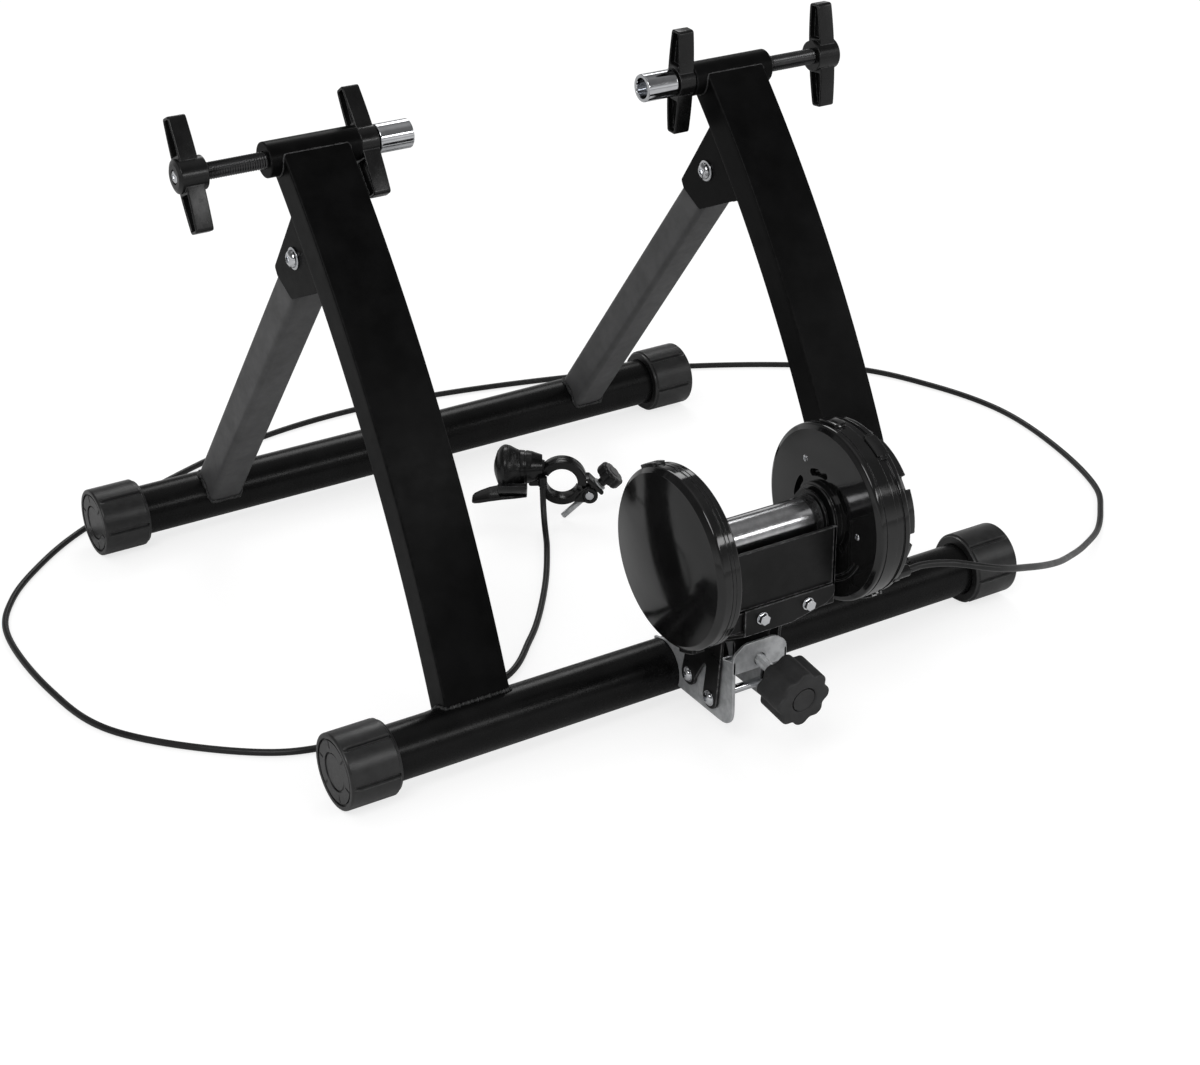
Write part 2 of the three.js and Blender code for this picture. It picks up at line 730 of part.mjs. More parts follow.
function clamp(side, sign) {
  const [outerTilt, innerTilt] = wingTilt[side].map((angle) => THREE.MathUtils.degToRad(sign * angle));
  const group = new THREE.Group();
  group.position.set(0, axleSetback, axleHeight);
  if (sign > 0) group.rotation.z = Math.PI;
  const handle = piece(`clamp_handle_${side}`, handleBody(outerTilt), blackPlastic());
  handle.position.x = (handleInner + handleOuter) / 2;
  const nut = piece(`lock_nut_${side}`, lockNutBody(innerTilt), blackPlastic());
  nut.position.x = (lockHubStart + lockHubEnd) / 2;
  group.add(
    piece(`clamp_sleeve_${side}`, sleeveBody(), blackPaint()),
    piece(`axle_cup_${side}`, cupBody(), chrome()),
    piece(`clamp_screw_${side}`, clampScrewBody(), darkSteel()),
    handle,
    nut,
  );
  return group;
}

// Fixed bracket on the front tube: two cheeks and a web with the tension bolt's hole
function bracketCheek() {
  const shape = new THREE.Shape();
  shape.moveTo(-cheekRear, cheekHeel);
  shape.lineTo(-cheekRear, cheekRearTop);
  shape.lineTo(-cheekFront, cheekTop);
  shape.lineTo(-cheekFront, cheekFoot + cheekRound);
  shape.quadraticCurveTo(-cheekFront, cheekFoot, -cheekFootFront, cheekFoot);
  return shape;
}

// A slot bent round a centre, between two angles
function arcSlot(radius, half, from, to, centreY, centreZ) {
  const points = [];
  const put = (r, angle) => points.push([centreY + r * Math.cos(angle), centreZ + r * Math.sin(angle)]);
  for (let i = 0; i <= slotSteps; i += 1) put(radius + half, from + (to - from) * i / slotSteps);
  for (let i = slotSteps; i >= 0; i -= 1) put(radius - half, from + (to - from) * i / slotSteps);
  return polygon(points);
}

const guideAngle = Math.atan2(guideRise - swingPivotRise, swingPivotReach - guideReach);
const guideRadius = Math.hypot(guideRise - swingPivotRise, guideReach - swingPivotReach);
const unitBolt = { y: -cheekFront, z: tensionRise };

function fixedBracketBody() {
  const cheek = bracketCheek();
  const inner = cheekHalf - cheekSheet;
  const web = polygon([[-cheekHalf, webBottom], [cheekHalf, webBottom], [cheekHalf, webShoulder],
    [webCrownHalf, webCrown], [-webCrownHalf, webCrown], [-cheekHalf, webShoulder]]);
  const reach = (pinRadius + gap) / guideRadius + swingHalfRange;
  const slot = alongX(arcSlot(guideRadius, pinRadius + gap, guideAngle - reach, guideAngle + reach,
    -swingPivotReach, swingPivotRise), -cheekHalf - overrun, cheekHalf + overrun);
  const body = join(
    alongX(cheek, -cheekHalf, -inner, 5),
    alongX(cheek, inner, cheekHalf, 5),
    alongY(web, -cheekFront, cheekSheet - cheekFront),
  );
  const boltHole = moved(tiltX(yRod(tensionRadius + gap, -2 * overrun, 2 * overrun), tensionTilt),
    0, unitBolt.y, unitBolt.z);
  return cut(body, rod(tubeRadius + gap, -baseLength, baseLength, wideSides), slot, boltHole,
    pinAt(pinRadius + gap, -baseLength, baseLength, -swingPivotReach, swingPivotRise, smallSides));
}

// A rod along Y round the Z = 0, X = 0 line
function yRod(radius, from, to, count = roundSides) {
  return rod(radius, from, to, count).rotate([0, 0, 90]);
}

// A pin across the mount with a domed head at both ends
function crossPinBody(half) {
  const shoulder = half + gap;
  const top = shoulder + pinHeadHeight;
  return turned([
    ...domed(domeShares, -top, -shoulder, pinHeadRadius), [-shoulder, pinRadius],
    [shoulder, pinRadius], ...domed(domeShares, top, shoulder, pinHeadRadius).reverse(),
  ], smallSides);
}

const armFrontReach = guideReach + armLegRadius + armBrow;
const armOuter = cheekHalf + gap + armSheet;
const armInner = cheekHalf + gap;
const cradleFloor = rollerHeight - tubeHeight - cradleFloorDrop;  // underside, from the tube's axis
const cradleFront = rollerSetback - cradleHalfDepth;
const lipFront = cradleFront - gap - armSheet;
const lipBottom = cradleFloor - lipBottomDrop;
const armTop = cradleFloor - gap;

// One cheek of the swing arm: two rounded legs with a notch, widening to the cradle
function armCheek() {
  const shape = new THREE.Shape();
  const r = armLegRadius;
  shape.moveTo(-swingPivotReach + r, swingPivotRise);
  shape.lineTo(-armBackTop, armTop);
  shape.lineTo(cradleFront + cradleSheet + gap, armTop);
  shape.lineTo(cradleFront + cradleSheet + gap, lipBottom - gap);
  shape.lineTo(-armFrontReach, armNeckRise);
  shape.lineTo(-guideReach - r, guideRise);
  shape.absarc(-guideReach, guideRise, r, Math.PI, 2 * Math.PI, false);
  shape.lineTo(-armNotchReach, armNotchRise);
  shape.lineTo(-swingPivotReach - r, swingPivotRise);
  shape.absarc(-swingPivotReach, swingPivotRise, r, Math.PI, 2 * Math.PI, false);
  return shape;
}

// The slanted front web between neck and lip, as a strip seen from the side
function armWebSide() {
  const t = armSheet;
  return polygon([
    [-armFrontReach, tongueBottom], [-armFrontReach, armNeckRise], [lipFront, lipBottom],
    [lipFront, cradleFloor + cradleSheet / 2], [lipFront + t, cradleFloor + cradleSheet / 2],
    [lipFront + t, lipBottom + t / 2], [t - armFrontReach, armNeckRise - t / 2],
    [t - armFrontReach, tongueBottom],
  ]);
}

// The same web seen from the front
function armWebFront() {
  const top = cradleFloor + cradleSheet;
  const neck = armShoulderRise;
  return polygon([
    [-tongueHalf, tongueBottom - gap], [tongueHalf, tongueBottom - gap], [tongueHalf, neck], [armOuter, neck],
    [armOuter, armNeckRise + gap], [lipRight, lipBottom], [lipRight, top], [lipLeft, top],
    [lipLeft, lipBottom], [-armOuter, armNeckRise + gap], [-armOuter, neck], [-tongueHalf, neck],
  ]);
}

function swingArmBody() {
  const web = alongX(armWebSide(), lipLeft, lipRight)
    .intersect(alongY(armWebFront(), lipFront - overrun, overrun));
  const plateFront = cradleFront + cradleSheet + gap;
  const plate = box(lipLeft, lipRight, plateFront, -armBackTop, armTop - armSheet, armTop);
  const shank = yRod(boltShankRadius + gap, lipFront - overrun, cradleFront + gap, smallSides);
  const bolts = lipBolts.map((x) => moved(shank, x, 0, cradleFloor - boltDrop));
  return cut(
    join(alongX(armCheek(), armInner, armOuter, 4), alongX(armCheek(), -armOuter, -armInner, 4), web, plate),
    ...bolts,
    pinAt(pinRadius + gap, -baseLength, baseLength, -swingPivotReach, swingPivotRise, smallSides),
    pinAt(pinRadius + gap, -baseLength, baseLength, -guideReach, guideRise, smallSides),
  );
}

function lipBoltBody() {
  const seat = lipFront - gap;
  const end = cradleFront + cradleSheet;
  return turned([
    [seat - boltHeadHeight, 0], [seat - boltHeadHeight, boltHeadRadius - chamfer],
    [seat - boltHeadHeight + chamfer, boltHeadRadius], [seat, boltHeadRadius],
    [seat, boltShankRadius], [end, boltShankRadius], [end, 0],
  ], boltSides).rotate([0, 0, 90]);
}

// The tension bolt, its domed foot and its lobed knob lie along Y in a tilted group
function knobBody() {
  const shape = new THREE.Shape();
  const count = knobLobes * knobLobeSteps;
  for (let i = 0; i < count; i += 1) {
    const angle = 2 * Math.PI * i / count;
    const valley = 0.5 - 0.5 * Math.cos(knobLobes * angle);
    const r = knobRadius - knobBevel - knobLobeDepth * valley ** knobLobeSharpness;
    const put = i === 0 ? 'moveTo' : 'lineTo';
    shape[put](r * Math.sin(angle), r * Math.cos(angle));
  }
  const geometry = new THREE.ExtrudeGeometry(shape, {
    depth: knobLength - 2 * knobBevel, bevelEnabled: true, bevelThickness: knobBevel,
    bevelSize: knobBevel, bevelSegments: 1, steps: 1,
  });
  geometry.translate(0, 0, knobStandoff + knobBevel);
  geometry.applyMatrix4(turnToY);
  const front = -knobStandoff - knobLength;
  const cap = yRod(knobCapRadius, front - knobCapRise, front + knobBevel);
  const socket = yRod(tensionRadius + gap, front + overrun - gap, -knobStandoff + overrun);
  return cut(join(solid(geometry), cap), socket);
}

// From the bracket's front face to the foot of the bolt, just short of the arm's tongue
const armWebReach = (cheekFront - armFrontReach - tensionTipGap) / Math.cos(tensionTilt);
function tensionBoltBody() {
  const end = armWebReach - tensionTipLength - gap;
  return yRod(tensionRadius, -knobStandoff - knobLength + overrun, end);
}

function tensionTipBody() {
  const start = armWebReach - tensionTipLength;
  return turned(domed(tensionTipShares, start, armWebReach, tensionTipRadius), roundSides).rotate([0, 0, 90]);
}

function mount() {
  const group = new THREE.Group();
  group.position.z = tubeHeight;
  const pivotPin = piece('swing_pivot_pin', crossPinBody(armOuter), chrome());
  pivotPin.position.set(0, -swingPivotReach, swingPivotRise);
  const guidePin = piece('swing_guide_pin', crossPinBody(armOuter), chrome());
  guidePin.position.set(0, -guideReach, guideRise);
  const bolts = both((side, sign) => {
    const bolt = piece(`cradle_bolt_${side}`, lipBoltBody(), chrome());
    bolt.position.set(lipBolts[sign > 0 ? 1 : 0], 0, cradleFloor - boltDrop);
    return bolt;
  });
  const tension = new THREE.Group();
  tension.position.set(0, unitBolt.y, unitBolt.z);
  tension.rotation.x = tensionTilt;
  tension.add(
    piece('tension_knob', knobBody(), blackPlastic()),
    piece('tension_bolt', tensionBoltBody(), zinc()),
    piece('tension_tip', tensionTipBody(), darkSteel()),
  );
  group.add(piece('fixed_bracket', fixedBracketBody(), zinc()),
    piece('swing_arm', swingArmBody(), blackPaint()), pivotPin, guidePin, ...bolts, tension);
  return group;
}

// Cradle: a channel with a floor, front and rear walls, end walls and a front flange
function cradleBody() {
  const d = cradleHalfDepth;
  const t = cradleSheet;
  const l = cradleHalfLength;
  const floor = -cradleFloorDrop;
  const endWall = new THREE.Shape();
  const c = cradleCollarRadius;
  endWall.moveTo(-d, floor);
  endWall.lineTo(d, floor);
  endWall.lineTo(d, cradleWallRise);
  endWall.lineTo(Math.sqrt(c * c - cradleWallRise * cradleWallRise), cradleWallRise);
  endWall.absarc(0, 0, c, Math.asin(cradleWallRise / c), Math.PI - Math.asin(cradleWallRise / c), false);
  endWall.lineTo(-d, cradleWallRise);
  const body = join(
    box(-l, l, -d, d, floor, floor + t),
    box(-l, l, -d, t - d, floor - flangeDrop, cradleWallRise),
    box(-l, l, d - t, d, floor, cradleWallRise),
    alongX(endWall, -l, t - l, 6),
    alongX(endWall, l - t, l, 6),
  );
  const holes = lipBolts.map((x) => moved(
    yRod(boltShankRadius + gap, -d - overrun, t - d + overrun, smallSides), x, 0, floor - boltDrop));
  return cut(body, rod(bearingNeckRadius + gap, -l - overrun, l + overrun, wideSides), ...holes);
}

// A flanged bearing in each end wall, with stepped rings towards the roller
function bearingBody() {
  const wall = cradleHalfLength - cradleSheet;
  const inner = rollerLength / 2 + 2 * gap;
  const bore = shaftRadius + gap;
  const step = inner + bearingStepLength;
  const flange = wall - gap - bearingFlange;
  return turned([
    [inner, bore], [inner, bearingRadius - bearingStepHeight], [step, bearingRadius - bearingStepHeight],
    [step, bearingRadius], [flange, bearingRadius], [flange, bearingFlangeRadius],
    [wall - gap, bearingFlangeRadius], [wall - gap, bearingNeckRadius],
    [cradleHalfLength, bearingNeckRadius], [cradleHalfLength, bore], [inner, bore],
  ], roundSides);
}

function rollerBody() {
  const half = rollerLength / 2;
  return turned([
    [-half, shaftRadius + gap], [-half, rollerRadius - chamfer], [chamfer - half, rollerRadius],
    [half - chamfer, rollerRadius], [half, rollerRadius - chamfer], [half, shaftRadius + gap],
    [-half, shaftRadius + gap],
  ], wideSides);
}

// The shaft runs through the roller from the flywheel to the brake's rotor
const flywheelInner = -flywheelCoverBack - coverWall - housingClear;
const rotorInner = brakeFace + coverWall + 2 * housingClear;
function shaftBody() {
  return rod(shaftRadius, flywheelInner - flywheelThickness - shaftStub,
    rotorInner + rotorThickness + shaftStub, smallSides);
}

function flywheelBody() {
  const outer = flywheelInner - flywheelThickness;
  return pipe(flywheelRadius, shaftRadius + gap, outer, flywheelInner, roundSides);
}

// Clips that hold two halves of a housing together, spread round its rim
function rimClips(angles, seam, radius) {
  return angles.map((degrees) => {
    const clip = box(seam - clipLength / 2, seam + clipLength / 2, -clipWidth / 2, clipWidth / 2,
      radius - coverWall, radius + clipRise);
    return tiltX(clip, THREE.MathUtils.degToRad(degrees - 90));
  });
}

// Domed outer half of the flywheel's housing
function flywheelCoverBody() {
  const face = -flywheelCoverFace;
  const r = coverRadius;
  const e = coverEdge;
  const t = coverWall;
  const dome = (share) => face - flywheelDome * (1 - share * share);
  const inside = coverDomeShares[1];
  const profile = [
    [dome(0), 0], ...coverDomeShares.map((share) => [dome(share), share * (r - e)]),
    [face, r - e], [face + e * edgeShare, r - e * edgeShare], [face + e, r], [-flywheelCoverSeam, r],
    [-flywheelCoverSeam, r - t], [face + e, r - t], [dome(inside) + t, inside * (r - e)], [dome(0) + t, 0],
  ];
  return join(turned(profile, coverSides),
    ...rimClips(flywheelClips, -flywheelCoverSeam - clipLength / 2, r));
}

// Rear half of the flywheel's housing, with the boss that seats on the cradle
function flywheelBackBody() {
  const seam = gap - flywheelCoverSeam;
  const back = -flywheelCoverBack;
  return turned([
    [seam, coverRadius - coverWall], [seam, coverRadius], [back - coverRim, coverRadius],
    [back, coverRadius - coverRim], [back, coverBossRadius], [-cradleHalfLength - gap, coverBossRadius],
    [-cradleHalfLength - gap, shaftRadius + gap], [back - coverWall, shaftRadius + gap],
    [back - coverWall, coverRadius - coverWall], [seam, coverRadius - coverWall],
  ], coverSides);
}

// Inner half of the brake housing: face with vents round the boss, and a rounded rim
function brakeInnerBody() {
  const r = coverRadius;
  const e = coverEdge;
  const t = coverWall;
  const shell = turned([
    [cradleHalfLength + gap, shaftRadius + gap], [cradleHalfLength + gap, coverBossRadius],
    [brakeFace, coverBossRadius], [brakeFace, r - e], [brakeFace + e * edgeShare, r - e * edgeShare],
    [brakeFace + e, r], [brakeSeam, r], [brakeSeam, r - t], [brakeFace + t, r - t],
    [brakeFace + t, shaftRadius + gap],
    [cradleHalfLength + gap, shaftRadius + gap],
  ], coverSides);
  const vents = [];
  for (let i = 0; i < ventCount; i += 1) {
    const middle = 2 * Math.PI * (i + ventTurnShare) / ventCount;
    vents.push(alongX(arcSlot((ventInner + ventOuter) / 2, (ventOuter - ventInner) / 2,
      middle - ventSweep / 2, middle + ventSweep / 2, 0, 0), brakeFace - overrun, brakeFace + overrun));
  }
  return join(cut(shell, ...vents), ...rimClips(brakeInnerClips, brakeSeam - clipLength / 2, r));
}

// Outer half, with a ring groove, the cable's gland and a mouth for the dial's hub
const glandReach = dialRadius + glandRadius + 3 * gap;
const glandPlace = [glandReach * Math.cos(glandAngle), glandReach * Math.sin(glandAngle)];
function brakeOuterBody() {
  const seam = brakeSeam + gap;
  const r = brakeBackRadius;
  const t = coverWall;
  const groove = (seam + brakeBack) / 2;
  const shell = turned([
    [seam, r - t], [seam, r], [groove - bandWidth / 2, r], [groove - bandWidth / 2, r - bandDepth],
    [groove + bandWidth / 2, r - bandDepth], [groove + bandWidth / 2, r], [brakeBack - coverRim, r],
    [brakeBack, r - coverRim], [brakeBack, brakeMouth], [brakeBack - t, brakeMouth],
    [brakeBack - t, r - t], [seam, r - t],
  ], coverSides);
  const barrel = pinAt(glandRadius, brakeBack - t, brakeBack + glandLength, ...glandPlace);
  return join(shell, barrel, ...rimClips(brakeOuterClips, seam + clipLength / 2, r));
}

function rotorBody() {
  return pipe(rotorRadius, shaftRadius + gap, rotorInner, rotorInner + rotorThickness, roundSides);
}

// Magnet plate behind the rotor, and the notched dial outside that turns with it
const magnetOuter = brakeBack - coverWall - housingClear;
const dialHub = brakeMouth - gap;
function magnetPlateBody() {
  const inner = magnetOuter - magnetThickness;
  return pipe(magnetRadius, dialHub * magnetBoreShare, inner, magnetOuter, roundSides);
}

function dialBody() {
  const start = brakeBack + gap;
  const end = start + dialThickness;
  const wheel = turned([
    [magnetOuter + gap, 0], [magnetOuter + gap, dialHub], [start, dialHub], [start, dialRadius],
    [end - coverRim, dialRadius], [end, dialRadius - coverRim], [end, dialRadius - dialRimWidth],
    [end - dialRecess, dialRadius - dialRimWidth - chamfer], [end - dialRecess, dialHub],
    [end, dialHub - chamfer], [end, 0],
  ], coverSides);
  const notches = [];
  for (let i = 0; i < dialNotchCount; i += 1) {
    const notch = box(start - overrun, end + overrun, -dialNotchWidth / 2, dialNotchWidth / 2,
      dialRadius - dialNotchDepth, dialRadius + overrun);
    notches.push(tiltX(notch, 2 * Math.PI * (i + dialTurnShare) / dialNotchCount));
  }
  return cut(wheel, ...notches);
}

function rollerUnit() {
  const group = new THREE.Group();
  group.position.set(0, rollerSetback, rollerHeight);
  const leftBearing = piece('bearing_left', bearingBody(), blackPlastic());
  leftBearing.rotation.z = Math.PI;
  group.add(
    piece('cradle', cradleBody(), blackPaint()),
    leftBearing,
    piece('bearing_right', bearingBody(), blackPlastic()),
    piece('roller', rollerBody(), chrome()),
    piece('roller_shaft', shaftBody(), darkSteel()),
    piece('flywheel', flywheelBody(), darkSteel()),
    piece('flywheel_cover', flywheelCoverBody(), glossPlastic()),
    piece('flywheel_back', flywheelBackBody(), glossPlastic()),
    piece('brake_inner_cover', brakeInnerBody(), glossPlastic()),
    piece('brake_outer_cover', brakeOuterBody(), glossPlastic()),
    piece('brake_rotor', rotorBody(), aluminium()),
    piece('magnet_plate', magnetPlateBody(), magnetGrey()),
    piece('resistance_dial', dialBody(), glossPlastic()),
  );
  return group;
}

// A point of a circle, its angle in degrees
function onCircle(radius, degrees) {
  const angle = THREE.MathUtils.degToRad(degrees);
  return [radius * Math.cos(angle), radius * Math.sin(angle)];
}

// An arc of a ring, angles in degrees
function ringArc(inner, outer, from, to) {
  const steps = Math.ceil(Math.abs(to - from) / ringStep);
  const points = [];
  for (let i = 0; i <= steps; i += 1) points.push(onCircle(outer, from + (to - from) * i / steps));
  for (let i = steps; i >= 0; i -= 1) points.push(onCircle(inner, from + (to - from) * i / steps));
  return polygon(points);
}

// Directions of the thumb screw, from its swivel towards the knob
const screwX = Math.cos(thumbTilt);
const screwZ = Math.sin(thumbTilt);
const alongScrew = (distance, off = 0) => [
  swivelReach + screwX * distance + screwZ * off,
  swivelRise + screwZ * distance - screwX * off,
];

// Shifter body: domed barrel, neck and the fixed upper half of the handlebar ring
function shifterBody() {
  const near = -barrelNear;
  const far = -barrelFar;
  const neckEnd = neckSink - ringOuter;
  const barrel = moved(turned([
    ...domed(barrelShares, far, far + barrelDome, barrelRadius),
    [near - barrelEdge, barrelRadius], [near, barrelRadius - barrelEdge],
    [near + barrelEdge, neckRadius], [neckEnd, neckRadius - neckTaper], [neckEnd, 0],
  ], roundSides), 0, 0, barrelRise);
  const blockEnd = -ringBore - 2 * overlap;
  const hingeBlock = alongY(polygon([[near, -hingeBlockFoot], [blockEnd, -hingeBlockFoot],
    [blockEnd, ringOuter * hingeBlockShare], [near, ringOuter]]), -ringHalfWidth, ringHalfWidth);
  const upper = alongY(ringArc(ringBore - overlap, ringOuter, ringTo, ringFrom),
    -ringHalfWidth, ringHalfWidth);
  const ear = alongY(polygon([alongScrew(earInner, -earTail), alongScrew(earInner, earHalf),
    alongScrew(earOuter, earHalf), alongScrew(earOuter, -earTailOuter)]), -ringHalfWidth, ringHalfWidth);
  const earSlot = alongY(polygon([alongScrew(0, -thumbRadius - gap), alongScrew(0, earHalf + overrun),
    alongScrew(earOuter + overrun, earHalf + overrun), alongScrew(earOuter + overrun, -thumbRadius - gap)]),
  -thumbRadius - gap, thumbRadius + gap);
  const past = ringHalfWidth + overrun;
  const bore = yRod(ringBore, -past, past);
  const lugRoom = moved(yRod(jawHingeLug + gap, -jawTongueHalf - gap, jawTongueHalf + gap, smallSides),
    -jawHingeReach, 0, jawHingeRise);
  const lowRoom = alongY(ringArc(ringBore - overrun, ringOuter + 2 * overrun, jawTongueFrom, jawRoomTo),
    -jawTongueHalf - gap, jawTongueHalf + gap);
  const pinHole = moved(yRod(jawHingePinRadius + gap, -past, past, smallSides),
    -jawHingeReach, 0, jawHingeRise);
  const gland = moved(alongZ(disc(shifterGlandRadius), 0, shifterGlandLength, 8),
    -shifterGlandReach, -shifterGlandOut, 0);
  const glandArm = box(-shifterGlandReach - shifterGlandArmHalf, shifterGlandArmHalf - shifterGlandReach,
    -shifterGlandOut, overlap - ringHalfWidth, shifterGlandLength * shifterGlandArmShare, shifterGlandLength);
  return cut(join(barrel, hingeBlock, upper, ear, gland, glandArm), earSlot, bore, lugRoom, lowRoom, pinHole);
}

// Lower half of the ring: hinge tongue at the left, forked lug for the swivel at the right
function jawBody() {
  const w = ringHalfWidth;
  const middle = (ringBore + jawOuter) / 2;
  const [armTopAngle, armInnerAngle, armLowAngle] = jawArmDegrees;
  const lower = alongY(ringArc(ringBore - overlap, jawOuter, jawFrom, jawTo), -w, w);
  const tongue = alongY(ringArc(ringBore - overlap, jawOuter, jawTongueFrom, jawTongueTo),
    -jawTongueHalf, jawTongueHalf);
  const lug = moved(yRod(jawHingeLug, -jawTongueHalf, jawTongueHalf, smallSides),
    -jawHingeReach, 0, jawHingeRise);
  const boss = moved(yRod(swivelLug, -w, w), swivelReach, 0, swivelRise);
  const arm = alongY(polygon([
    onCircle(middle, armTopAngle), [swivelReach, swivelRise + swivelLug],
    [swivelReach, swivelRise - swivelLug], onCircle(jawOuter, armLowAngle), onCircle(middle, armInnerAngle),
  ]), -w, w);
  const [tail, head] = [-thumbTail - overrun, swivelLug + overrun];
  const below = -thumbRadius - 2 * gap;
  const screwRoom = alongY(polygon([
    alongScrew(tail, below), alongScrew(head, below), alongScrew(head, head), alongScrew(tail, head),
  ]), -thumbRadius - 3 * gap, thumbRadius + 3 * gap);
  const swivelHole = moved(yRod(swivelRadius + gap, -w - overrun, w + overrun, smallSides),
    swivelReach, 0, swivelRise);
  const pinHole = moved(yRod(jawHingePinRadius + gap, -w, w, smallSides), -jawHingeReach, 0, jawHingeRise);
  const bore = yRod(ringBore, -w - overrun, w + overrun);
  return cut(join(lower, tongue, lug, boss, arm), screwRoom, swivelHole, pinHole, bore);
}

function swivelBody() {
  const pin = yRod(swivelRadius, -ringHalfWidth, ringHalfWidth, smallSides);
  const hole = screwRod(thumbRadius + gap, -2 * swivelRadius, 2 * swivelRadius);
  return moved(cut(pin, hole), swivelReach, 0, swivelRise);
}

// A body along X, or a rod, turned to the thumb screw's direction
const toScrew = (body) => body.rotate([0, -THREE.MathUtils.radToDeg(thumbTilt), 0]);
const screwRod = (radius, from, to) => toScrew(rod(radius, from, to, smallSides));

function thumbKnobBody() {
  const shape = new THREE.Shape();
  const count = thumbFlutes * thumbFluteSteps;
  for (let i = 0; i < count; i += 1) {
    const angle = 2 * Math.PI * i / count;
    const r = thumbKnobRadius - (i % thumbFluteSteps === 0 ? thumbFluteDepth : 0);
    const put = i === 0 ? 'moveTo' : 'lineTo';
    shape[put](r * Math.cos(angle), r * Math.sin(angle));
  }
  const start = thumbKnobStart;
  const wheel = alongX(shape, start, start + thumbKnobThickness);
  const neck = rod(thumbNeckRadius, earOuter + washerThickness + 3 * gap, start + overlap);
  const socket = rod(thumbRadius + gap, earOuter, start + thumbKnobThickness / 2);
  return toScrew(cut(join(wheel, neck), socket));
}

function leverBody() {
  const inner = barrelRadius + gap;
  const outer = inner + leverWall;
  const saddle = moved(alongX(ringArc(inner, outer, saddleFrom, saddleTo), -leverStart, -leverEnd),
    0, 0, barrelRise);
  const drop = barrelRise - inner;
  const paddle = alongY(polygon(paddleShares.map(([along, down]) => [
    -leverEnd - (leverTip - leverEnd) * along, drop - leverTipDrop * down,
  ])), -leverTipHalf, leverTipHalf);
  return cut(join(saddle, paddle), moved(rod(inner, -leverTip, 0, wideSides), 0, 0, barrelRise));
}

function shifter() {
  const group = new THREE.Group();
  group.position.copy(ringPlace);
  group.rotation.z = ringTurn;
  const hingePin = piece('jaw_hinge_pin',
    yRod(jawHingePinRadius, -ringHalfWidth, ringHalfWidth, smallSides), chrome());
  hingePin.position.set(-jawHingeReach, 0, jawHingeRise);
  const screwEnd = thumbKnobStart + thumbKnobThickness / 2 - gap;
  const atSwivel = [
    piece('thumb_screw', screwRod(thumbRadius, -thumbTail, screwEnd), zinc()),
    piece('thumb_washer', toScrew(pipe(washerRadius, thumbRadius + gap,
      earOuter + gap, earOuter + gap + washerThickness, smallSides)), zinc()),
    piece('thumb_knob', thumbKnobBody(), blackPlastic()),
  ];
  atSwivel.forEach((mesh) => mesh.position.set(swivelReach, 0, swivelRise));
  group.add(
    piece('shifter_body', shifterBody(), blackPlastic()),
    piece('shifter_lever', leverBody(), blackPlastic()),
    piece('shifter_jaw', jawBody(), blackPlastic()),
    piece('jaw_swivel', swivelBody(), chrome()),
    hingePin,
    ...atSwivel,
  );
  return group;
}

// The cable's line, with its steps crowded towards the two bends at its ends
class CableLine extends THREE.CatmullRomCurve3 {
  getUtoTmapping(share, distance) {
    const crowded = share - cableEndDense * Math.sin(2 * Math.PI * share) / (2 * Math.PI);
    return super.getUtoTmapping(crowded, distance);
  }
}

function cable() {
  const [glandY, glandZ] = glandPlace;
  const end = [brakeBack + glandLength + gap, rollerSetback + glandY, rollerHeight + glandZ];
  const points = [cableStart, ...cableRoute, end].map((place) => new THREE.Vector3(...place));
  const line = new CableLine(points, false, 'centripetal');
  line.arcLengthDivisions = 10 * cableSteps;
  const outline = [];
  for (let i = 0; i < cableSides; i += 1) outline.push(onCircle(cableRadius, 360 * i / cableSides));
  const geometry = new THREE.ExtrudeGeometry(polygon(outline), {
    steps: cableSteps, extrudePath: line, bevelEnabled: false,
  });
  return piece('brake_cable', solid(geometry), rubber());
}

// The whole trainer, its origin under the middle of its footprint
function trainer() {
  const frame = new THREE.Group();
  const baseTube = floorTube('base_tube', baseLength);
  baseTube.position.z = tubeHeight;
  const baseFeet = feet('base', baseLength, 0);
  baseFeet.forEach((mesh) => { mesh.position.z = tubeHeight; });
  frame.add(baseTube, ...baseFeet, ...uprights(), ...gussets(), legFrame(),
    ...both(clamp), mount(), rollerUnit(), shifter());
  frame.updateMatrixWorld(true);
  const extent = new THREE.Box3().setFromObject(frame, true);
  frame.position.y = -(extent.min.y + extent.max.y) / 2;
  const whole = new THREE.Group();
  frame.add(cable());
  whole.add(frame);
  whole.updateMatrixWorld(true);
  return whole;
}

export default trainer();
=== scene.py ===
import json
import math

import bmesh
import bpy
from mathutils import Matrix, Vector, geometry, noise


